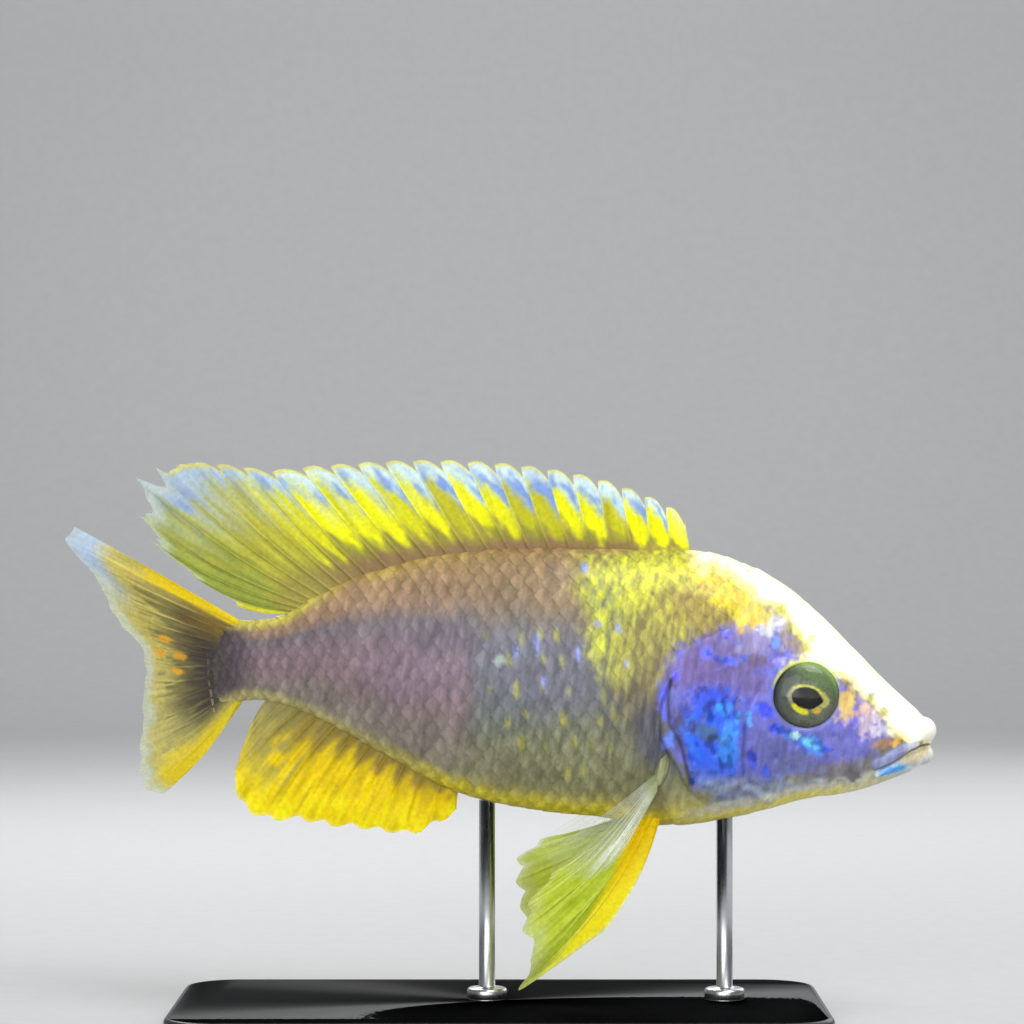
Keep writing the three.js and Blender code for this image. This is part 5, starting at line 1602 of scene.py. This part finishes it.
for name in SIGN:
    fin_sheet(
        f"pelvic_fin_web_{name}", pelvic_rays(name), 52, 26, pelvic_look, pelvic_cut, thick=(0.7, 0.3),
        sway=1.0, seed=11 + SIGN[name], slot="pelvic_fin", node=f"pelvic_fin_{name}", soft_from=1,
        split_from=0.3,
    )

# %% Pectoral fins
PECTORAL_RAYS = 13
PECTORAL_TOP, PECTORAL_LOW = (24.9, 41.0), (24.6, 38.2)
PECTORAL_TIPS = [
    (6.2, 16.6, 28.4), (8.4, 17.4, 26.2), (11.4, 17.6, 24.6), (14.6, 17, 24.9), (18.4, 15.2, 27.6),
]


def pectoral_rays(name):
    (top_x, top_z), (low_x, low_z) = PECTORAL_TOP, PECTORAL_LOW
    skin_y = float(flank_at((top_x + low_x) / 2, (top_z + low_z) / 2))
    tips = along_edge(PECTORAL_TIPS, np.linspace(0, 1, PECTORAL_RAYS))
    rays = []
    for i, share in enumerate(np.linspace(0, 1, PECTORAL_RAYS)):
        x, z = top_x + (low_x - top_x) * share, top_z + (low_z - top_z) * share
        root = np.array([x, SIGN[name] * (skin_y + 0.4), z])
        tip = np.array([tips[i][0], SIGN[name] * tips[i][1], tips[i][2]])
        rays.append(bent_ray(root, tip, 0.04))
    return rays


def pectoral_cut(place, share):
    return 0.5 * ease(from_ray(share), 0, 0.4) + 1.2 * cloud(place * 1.5, 0 * place, 0.5, 1, 25) ** 2


def pectoral_look(place, t, on_ray, *_):
    """Nearly clear, with pale rays and a white glint in the middle."""
    share = place / (PECTORAL_RAYS - 1)
    glint = ease(cloud(place * 2.2, t * 2, 0.7, 0.6, 26), 0.42, 0.70)
    white = ease(share, 0.35, 0.6) * ease(share, 1.05, 0.8)
    tint = mix((0.66, 0.72, 0.58), (0.94, 0.98, 0.92), 0.8 * np.maximum(on_ray * 0.8, glint))
    tint = mix(tint, (0.48, 0.54, 0.28), ease(t, 0.20, 0.04))
    solid = 0.07 + (0.08 + 0.20 * ease(share, 0.2, 0.45)) * on_ray
    solid = solid + white * (0.22 + 0.45 * glint * ease(t, 0.2, 0.4)) + 0.5 * ease(t, 0.25, 0.0)
    return tint, solid * ease(t, 1.02, 0.6) + 0.04


for name in SIGN:
    fin_sheet(
        f"pectoral_fin_web_{name}", pectoral_rays(name), 48, 12, pectoral_look, pectoral_cut,
        thick=(0.8, 0.26), sway=0.8, seed=15 + SIGN[name], slot="pectoral_fin",
        node=f"pectoral_fin_{name}", web=0.14, split_from=0.3,
    )

# %% [markdown]
# ## Fleshy root of the pectoral fin
#
# The pectoral's rays spring from a small pad of muscle, which turns the fin. It is a squashed and slanting
# ball, long enough to carry all the rays, and sunk into the body by half.

# %% Pectoral roots
POLE_HOLE = 0.004
PAD_ROUND, PAD_ROWS = 40, 32
PAD_WIDE, PAD_THICK, PAD_TALL, PAD_SLANT = 1.15, 1.2, 2.7, 0.24


def ball_points(count_round, count_rows):
    """Points of a unit ball from pole to pole, row by row, each pole being a very short ring."""
    fall = np.linspace(POLE_HOLE, math.pi - POLE_HOLE, count_rows)
    turn = np.linspace(0, 2 * math.pi, count_round, endpoint=False)
    f, t = np.meshgrid(fall, turn, indexing="ij")
    return np.stack([np.sin(f) * np.cos(t), np.sin(f) * np.sin(t), np.cos(f)], -1)


def pectoral_root(name):
    """The pad behind the gill cover that the pectoral rays grow from."""
    (top_x, top_z), (low_x, low_z) = PECTORAL_TOP, PECTORAL_LOW
    middle_x, middle_z = (top_x + low_x) / 2, (top_z + low_z) / 2
    unit = ball_points(PAD_ROUND, PAD_ROWS)
    x = middle_x + 0.9 + PAD_WIDE * unit[..., 0] + PAD_SLANT * PAD_TALL * unit[..., 2]
    y = SIGN[name] * (float(flank_at(middle_x, middle_z)) + 0.1 + PAD_THICK * unit[..., 1])
    z = middle_z + 1.9 + PAD_TALL * unit[..., 2]
    rib = 0.07 * np.sin(unit[..., 0] * 9) * (1 - unit[..., 2] ** 2)
    points = np.stack([x, y + SIGN[name] * rib, z], -1).reshape(-1, 3)
    flat = unit.reshape(-1, 3)
    tint = mix((0.23, 0.25, 0.11), (0.35, 0.36, 0.17), cloud(points[:, 0], points[:, 2], 0.5, 1.4, 31))
    # The front of the pad, next to the gill cover, is darkened grey: painted shade
    tint = mix(tint, (0.14, 0.14, 0.14), 0.5 * ease(flat[:, 0], 0.4, 1))
    bake = np.stack([0.5 + 0.45 * flat[:, 0], 0.5 + 0.45 * flat[:, 2]], -1)
    plain_skin = {"cover": np.full(len(flat), 0.4), "shine": np.zeros(len(flat))}
    piece = make_mesh(
        f"pectoral_root_{name}", points, tube_faces(PAD_ROWS, PAD_ROUND),
        {"ground": 0.8 * tint, "streak": 1.3 * tint}, plain_skin, bake,
    )
    settle(piece, "pectoral_fin", skin_finish)


for name in SIGN:
    pectoral_root(name)

# %% [markdown]
# ## Eyes
#
# A fish's eye is a flat ball in a shallow cup. Through a clear window one sees a dark iris flecked with
# olive, a golden ring, and a pupil through which the round lens bulges. So each eye is two pieces: the
# painted ball, dished at the iris and domed at the lens, and over it a clear window that takes the
# highlights.

# %% Eyes
EYE_ROUND, EYE_ROWS = 128, 90
WINDOW_ROUND, WINDOW_ROWS = 96, 60
# How much smaller and flatter the painted ball is than its window
BALL_INSET, BALL_FLATTER = 0.04, 0.22
IRIS_DISH, LENS_HEIGHT = 0.34, 0.465
PUPIL = {"ahead": 0.28, "up": -0.36, "wide": 2.5, "tall": 1.68, "tilt": -12}
EYE_FLATNESS = 0.5


def eye_colours(x, z):
    """Tints of the eyeball by place in side view, from the middle of the eye."""
    turn = math.radians(PUPIL["tilt"])
    px, pz = x - PUPIL["ahead"], z - PUPIL["up"]
    along = px * math.cos(turn) + pz * math.sin(turn)
    across = pz * math.cos(turn) - px * math.sin(turn)
    power = 2.1 - 0.65 * ease(along, 0.3, 2.2)
    reach = (np.abs(along / PUPIL["wide"]) ** power + np.abs(across / PUPIL["tall"]) ** power) ** (1 / power)
    outside = (reach - 1) * (PUPIL["wide"] + PUPIL["tall"]) / 2
    from_middle = np.hypot(x, z)
    around = np.arctan2(z, x)
    fleck = cloud(around * 9, from_middle * 2, 0.8, 0.9, 41)
    iris = mix((0.10, 0.125, 0.095), (0.21, 0.24, 0.17), fleck)
    iris = mix(iris, (0.085, 0.10, 0.095), 0.7 * ease(x, 0, -3.4))
    iris = mix(iris, (0.17, 0.27, 0.10), 0.8 * ease(z + 0.7 * x, 1.6, 4.4))
    iris = mix(iris, (0.27, 0.31, 0.22), 0.6 * ease(x, 0.4, 3.4) * ease(z, 0.4, -1.8))
    tint = mix(iris, (0.20, 0.23, 0.18), 0.5 * ease(from_middle, 4.4, 5.1))
    # The outermost edge of the ball is painted lighter, to offset the shade where it meets the cup
    tint = mix(tint, (0.30, 0.34, 0.26), 0.8 * ease(from_middle, 4.8, 5.1))
    tint = mix(tint, (0.36, 0.60, 0.12), 0.55 * ease(from_middle, 4.5, 5.1) * ease(z + 0.8 * x, 2.0, 5.0))
    ring_width = 0.30 + 0.16 * fleck + 0.45 * ease(along, 1.0, 2.6) + 0.12 * ease(along, -1.0, -2.6)
    ring = ease(outside, ring_width + 0.3, ring_width - 0.15) * ease(outside, -0.05, 0.12)
    ring = ring * (1 - 0.65 * ease(across, -0.7, -1.5))
    gold = mix((0.50, 0.50, 0.14), (0.36, 0.39, 0.20), ease(along, 0.4, -2.0))
    gold = mix(gold, (0.82, 0.74, 0.08), ease(across, 0.7, 1.7) * (0.5 + 0.5 * fleck))
    tint = mix(tint, np.minimum(gold * 1.35, 1), 0.9 * ring)
    yellow_spot = blob(x, z, (-0.9, -2.1), 1.4, 0.62, -30, 0.25, 0.1)
    amber_spot = blob(x, z, (1.75, -2.3), 0.72, 0.52, 10, 0.3, 0.1)
    tint = mix(tint, (1.0, 0.95, 0.04), yellow_spot)
    tint = mix(tint, (0.90, 0.62, 0.10), 0.9 * amber_spot)
    return mix(tint, (0.004, 0.004, 0.005), ease(outside, 0.07, -0.05)), reach


print("tint of the iris behind the pupil:", np.round(eye_colours(-4.0, 0.0)[0], 2))

# %% Eyeball and window
def eye_points(name, x, depth, z):
    """Places on an eye, measured from its middle, as points of the model."""
    middle = float(flank_at(EYE_X, EYE_Z)) + EYE_BULGE - EYE_DEPTH
    return np.stack([EYE_X + x, SIGN[name] * (middle + depth), EYE_Z + z], -1).reshape(-1, 3)


def flattened(out):
    """The depth of a ball pressed flat on both sides."""
    return np.sign(out) * np.abs(out) ** EYE_FLATNESS


def eye_ball(name):
    unit = ball_points(EYE_ROUND, EYE_ROWS)
    x, z = unit[..., 0] * (EYE_RADIUS - BALL_INSET), unit[..., 1] * (EYE_RADIUS - BALL_INSET)
    tint, reach = eye_colours(x, z)
    front = unit[..., 2] > 0
    dish = IRIS_DISH * ease(np.hypot(x, z), 4.6, 3.0) * front
    lens = LENS_HEIGHT * np.sqrt(np.clip(1 - (reach / 1.02) ** 2, 0, 1)) * front
    depth = (EYE_DEPTH - BALL_FLATTER) * flattened(unit[..., 2]) - dish + lens
    tint = np.where(front[..., None], tint, 0.03)
    bake = np.stack([0.25 + 0.045 * x + 0.5 * ~front, 0.5 + 0.09 * z], -1).reshape(-1, 2)
    piece = make_mesh(
        f"eyeball_{name}", eye_points(name, x, depth, z), tube_faces(EYE_ROWS, EYE_ROUND), {"tint": tint},
        {"shine": 0.3 * ease(np.abs(reach - 1.3), 0.4, 0.1)}, bake,
    )
    settle(piece, "eye", eye_finish, f"eye_{name}")


def eye_window(name):
    unit = ball_points(WINDOW_ROUND, WINDOW_ROWS)
    x, z = unit[..., 0] * EYE_RADIUS, unit[..., 1] * EYE_RADIUS
    points = eye_points(name, x, EYE_DEPTH * flattened(unit[..., 2]), z)
    bake = np.stack([0.5 + 0.45 * unit[..., 0], 0.5 + 0.45 * unit[..., 1]], -1).reshape(-1, 2)
    piece = make_mesh(f"eye_window_{name}", points, tube_faces(WINDOW_ROWS, WINDOW_ROUND), bake_map=bake)
    settle(piece, "eye", window_finish)


print("the eyes lie", round(float(flank_at(EYE_X, EYE_Z)), 1), "mm off the middle")

# %% Eye materials
def eye_material():
    """The painted eyeball: satin iris, slightly metallic gold ring."""
    material, add = new_material("painted eye")
    place = add("TexCoord").outputs["Object"]
    colour = speckled(add, on_mesh(add, "tint", "Color"), 3200.0, 0.22, place)
    grain = noise(add, place, 5200.0, 3.0)
    shader = add("BsdfPrincipled", {
        "Base Color": colour, "Metallic": on_mesh(add, "shine"), "Roughness": 0.5,
        "Normal": bumped(add, grain, 0.4, 0.00003), "Specular IOR Level": 0.2,
    })
    return finished(material, add, shader.outputs["BSDF"])


def window_material():
    """A clear window that only mirrors: more of it where it is seen at a slant."""
    material, add = new_material("eye window")
    fresnel = add("Fresnel", {"IOR": 1.37})
    clear = add("BsdfTransparent")
    mirror = add("BsdfGlossy", {"Roughness": 0.03})
    shares = {0: fresnel.outputs["Fac"], 1: clear.outputs["BSDF"], 2: mirror.outputs["BSDF"]}
    return finished(material, add, add("MixShader", shares).outputs["Shader"])


eye_finish = eye_material()
window_finish = window_material()
for name in SIGN:
    eye_ball(name)
    eye_window(name)

# %% [markdown]
# ## Stand
#
# A plain museum stand: a black satin plate with rounded corners and a fine bevel, and two steel rods with
# turned collars. Plate and rods are lofted from rings, so their edges stay round close up. The plate has the
# faint orange peel of sprayed lacquer, and the rods are brushed along their length.

# %% Stand
BASE = {"length": 104, "width": 56, "height": 4, "corner": 9, "bevel": 0.8}
CORNER_STEPS, BEVEL_STEPS, ROD_STEPS = 16, 6, 48
ROD_RADIUS, ROD_FRONT_X, ROD_REAR_X = 1.3, 36, -2
ROD_TOP_SUNK = 0.05
COLLAR = {"radius": 3.2, "height": 1.8, "bevel": 0.5, "foot_bevel": 0.15, "over_plate": 0.3}
BAKE_MARGIN = 0.98


def rounded_rectangle(inset, z):
    """Points at the height z round the base's outline, drawn in by inset."""
    half_x, half_y = BASE["length"] / 2 - inset, BASE["width"] / 2 - inset
    radius = BASE["corner"] - inset
    points = []
    for quarter, (sx, sy) in enumerate([(1, 1), (-1, 1), (-1, -1), (1, -1)]):
        for turn in np.linspace(0, math.pi / 2, CORNER_STEPS) + quarter * math.pi / 2:
            x = sx * (half_x - radius) + radius * math.cos(turn)
            points.append((x, sy * (half_y - radius) + radius * math.sin(turn), z))
    return points


def stacked_rings(name, rings, material, slot, node):
    """A closed piece from rings of equal count, given from bottom to top."""
    count = len(rings[0])
    points = np.array(rings, float).reshape(-1, 3)
    row = np.repeat(np.arange(len(rings)), count) / len(rings)
    bake = np.stack([np.tile(np.arange(count) / count, len(rings)), row], -1) * BAKE_MARGIN
    piece = make_mesh(name, points, tube_faces(len(rings), count), bake_map=bake)
    return settle(piece, slot, material, node)


def lacquer_material():
    material, add = new_material("black satin lacquer")
    place = add("TexCoord").outputs["Object"]
    cast = noise(add, place, 60.0, 4.0)
    shader = add("BsdfPrincipled", {
        "Base Color": blend(add, cast, (0.018, 0.019, 0.021, 1), (0.030, 0.031, 0.034, 1)),
        "Roughness": spread(add, cast, 0.30, 0.44),
        "Normal": bumped(add, noise(add, place, 900.0, 2.0), 0.2, 0.00004),
    })
    return finished(material, add, shader.outputs["BSDF"])


def steel_material():
    material, add = new_material("brushed steel")
    stretched = add("Mapping", {"Vector": add("TexCoord").outputs["Object"], "Scale": (1.0, 1.0, 0.05)})
    brush = noise(add, stretched.outputs["Vector"], 4200.0, 3.0)
    shader = add("BsdfPrincipled", {
        "Base Color": blend(add, brush, (0.50, 0.51, 0.53, 1), (0.68, 0.69, 0.71, 1)), "Metallic": 1.0,
        "Roughness": spread(add, brush, 0.20, 0.38), "Normal": bumped(add, brush, 0.15, 0.00002),
    })
    return finished(material, add, shader.outputs["BSDF"])


lacquer = lacquer_material()
steel = steel_material()
bevel = []
for turn in np.linspace(0, math.pi / 2, BEVEL_STEPS):
    bevel.append((BASE["bevel"] * (1 - math.sin(turn)), BASE["bevel"] * (1 - math.cos(turn))))
plate_rings = [rounded_rectangle(inset, rise) for inset, rise in bevel]
plate_rings += [rounded_rectangle(inset, BASE["height"] - rise) for inset, rise in reversed(bevel)]
stacked_rings("base_plate", plate_rings, lacquer, "stand_base", "stand_base")


# %% Rods
def rod_rings(x):
    """Rings of a rod with its collar. The top follows the belly just under the skin's surface."""
    foot = BASE["height"] + COLLAR["over_plate"]
    y = float(bend_at(x))
    radius, small, top_z = COLLAR["radius"], COLLAR["foot_bevel"], foot + COLLAR["height"]
    profile = [
        (radius - small, foot), (radius, foot + small), (radius, top_z - COLLAR["bevel"]),
        (radius - small, top_z - small), (radius - COLLAR["bevel"], top_z),
        (ROD_RADIUS + 0.3, top_z + 0.02), (ROD_RADIUS, top_z + 0.3),
    ]
    turns_round = np.linspace(0, 2 * math.pi, ROD_STEPS, endpoint=False)
    rings = [[(x + r * math.cos(a), y + r * math.sin(a), z) for a in turns_round] for r, z in profile]
    top = []
    for a in turns_round:
        at_x, side = x + ROD_RADIUS * math.cos(a), abs(ROD_RADIUS * math.sin(a))
        belly, back, half = float(belly_at(at_x)), float(back_at(at_x)), float(half_width_at(at_x))
        middle = belly + WIDEST_LEVEL * (back - belly)
        level = (side / half) ** (1 / BELLY_POWER)
        surface = middle - (middle - belly) * math.sqrt(max(0, 1 - level**2))
        top.append((at_x, y + ROD_RADIUS * math.sin(a), surface - ROD_TOP_SUNK))
    return rings + [top]


stacked_rings("rod_front", rod_rings(ROD_FRONT_X), steel, "stand_rod", "stand_rod_front")
stacked_rings("rod_rear", rod_rings(ROD_REAR_X), steel, "stand_rod", "stand_rod_rear")

# %% [markdown]
# ## Backdrop, light and camera
#
# The photograph was taken level with the fish, from its right side, so the camera looks straight along
# Y from 600 mm away. A pale sheet sweeps up behind the stand without a corner. A large soft light above
# and ahead of the fish gives the burnt out forehead, a wide one from the camera's side fills the flank,
# and one from behind lets the fins glow. Two weak ones soften the shadows below and on the far side, and
# the last one lights the wall of the backdrop.

# %% Backdrop
def backdrop():
    """A pale floor that curves up into a wall."""
    floor_front, floor_back, rise, top, wide, under_base = -2500, 800, 300, 1200, 1800, 0.05
    profile = [(floor_front, 0)]
    for turn in np.linspace(0, math.pi / 2, 40):
        profile.append((floor_back + rise * math.sin(turn), rise * (1 - math.cos(turn))))
    profile.append((floor_back + rise, top))
    points = [(x, y, z - under_base) for x in (-wide, wide) for y, z in profile]
    sheet = make_mesh("backdrop", points, [grid_faces(2, len(profile))])
    material, add = new_material("pale paper")
    fibre = noise(add, add("TexCoord").outputs["Object"], 240.0, 4.0)
    colour = blend(add, fibre, (0.47, 0.475, 0.48, 1), (0.52, 0.525, 0.53, 1))
    shader = add("BsdfPrincipled", {"Base Color": colour, "Roughness": 0.85})
    sheet.data.materials.append(finished(material, add, shader.outputs["BSDF"]))


backdrop()


# %% Lights and camera
def soft_light(name, place, aim, size, power):
    """A square soft white light in metres, pointed at a place."""
    lamp = bpy.data.lights.new(name, "AREA")
    lamp.shape = "SQUARE"
    lamp.size = size
    lamp.energy = power
    holder = bpy.data.objects.new(name, lamp)
    holder.location = place
    holder.rotation_euler = (Vector(aim) - Vector(place)).to_track_quat("-Z", "Y").to_euler()
    bpy.context.scene.collection.objects.link(holder)


FISH_MIDDLE = (0.0, 0.0, 0.055)
soft_light("key light", (0.22, -0.30, 0.55), FISH_MIDDLE, 0.35, 2.8)
soft_light("camera side fill", (-0.25, -0.75, 0.22), FISH_MIDDLE, 0.5, 2.4)
soft_light("low front fill", (0.10, -0.60, 0.03), FISH_MIDDLE, 0.4, 1.0)
soft_light("back light", (-0.12, 0.38, 0.42), FISH_MIDDLE, 0.3, 1.7)
soft_light("far side fill", (0.35, 0.45, 0.30), FISH_MIDDLE, 0.4, 0.8)
soft_light("backdrop light", (0, 0.62, 0.80), (0, 1.10, 0.25), 0.8, 4.0)

world = bpy.data.worlds.new("studio")
world.use_nodes = True
sky = world.node_tree.nodes["Background"]
sky.inputs["Color"].default_value = (0.92, 0.95, 1.0, 1)
sky.inputs["Strength"].default_value = 0.20
bpy.context.scene.world = world
bpy.context.scene.view_settings.view_transform = "Standard"

IMAGE_WIDTH, CAMERA_AWAY, CAMERA_X, CAMERA_Z = 163.84, 600, 2, 82.16
lens = bpy.data.cameras.new("camera")
lens.sensor_width = 36
lens.lens = lens.sensor_width * CAMERA_AWAY / IMAGE_WIDTH
camera = bpy.data.objects.new("camera", lens)
camera.location = (CAMERA_X * MM, -CAMERA_AWAY * MM, CAMERA_Z * MM)
camera.rotation_euler = (math.pi / 2, 0, 0)
bpy.context.scene.collection.objects.link(camera)
bpy.context.scene.camera = camera
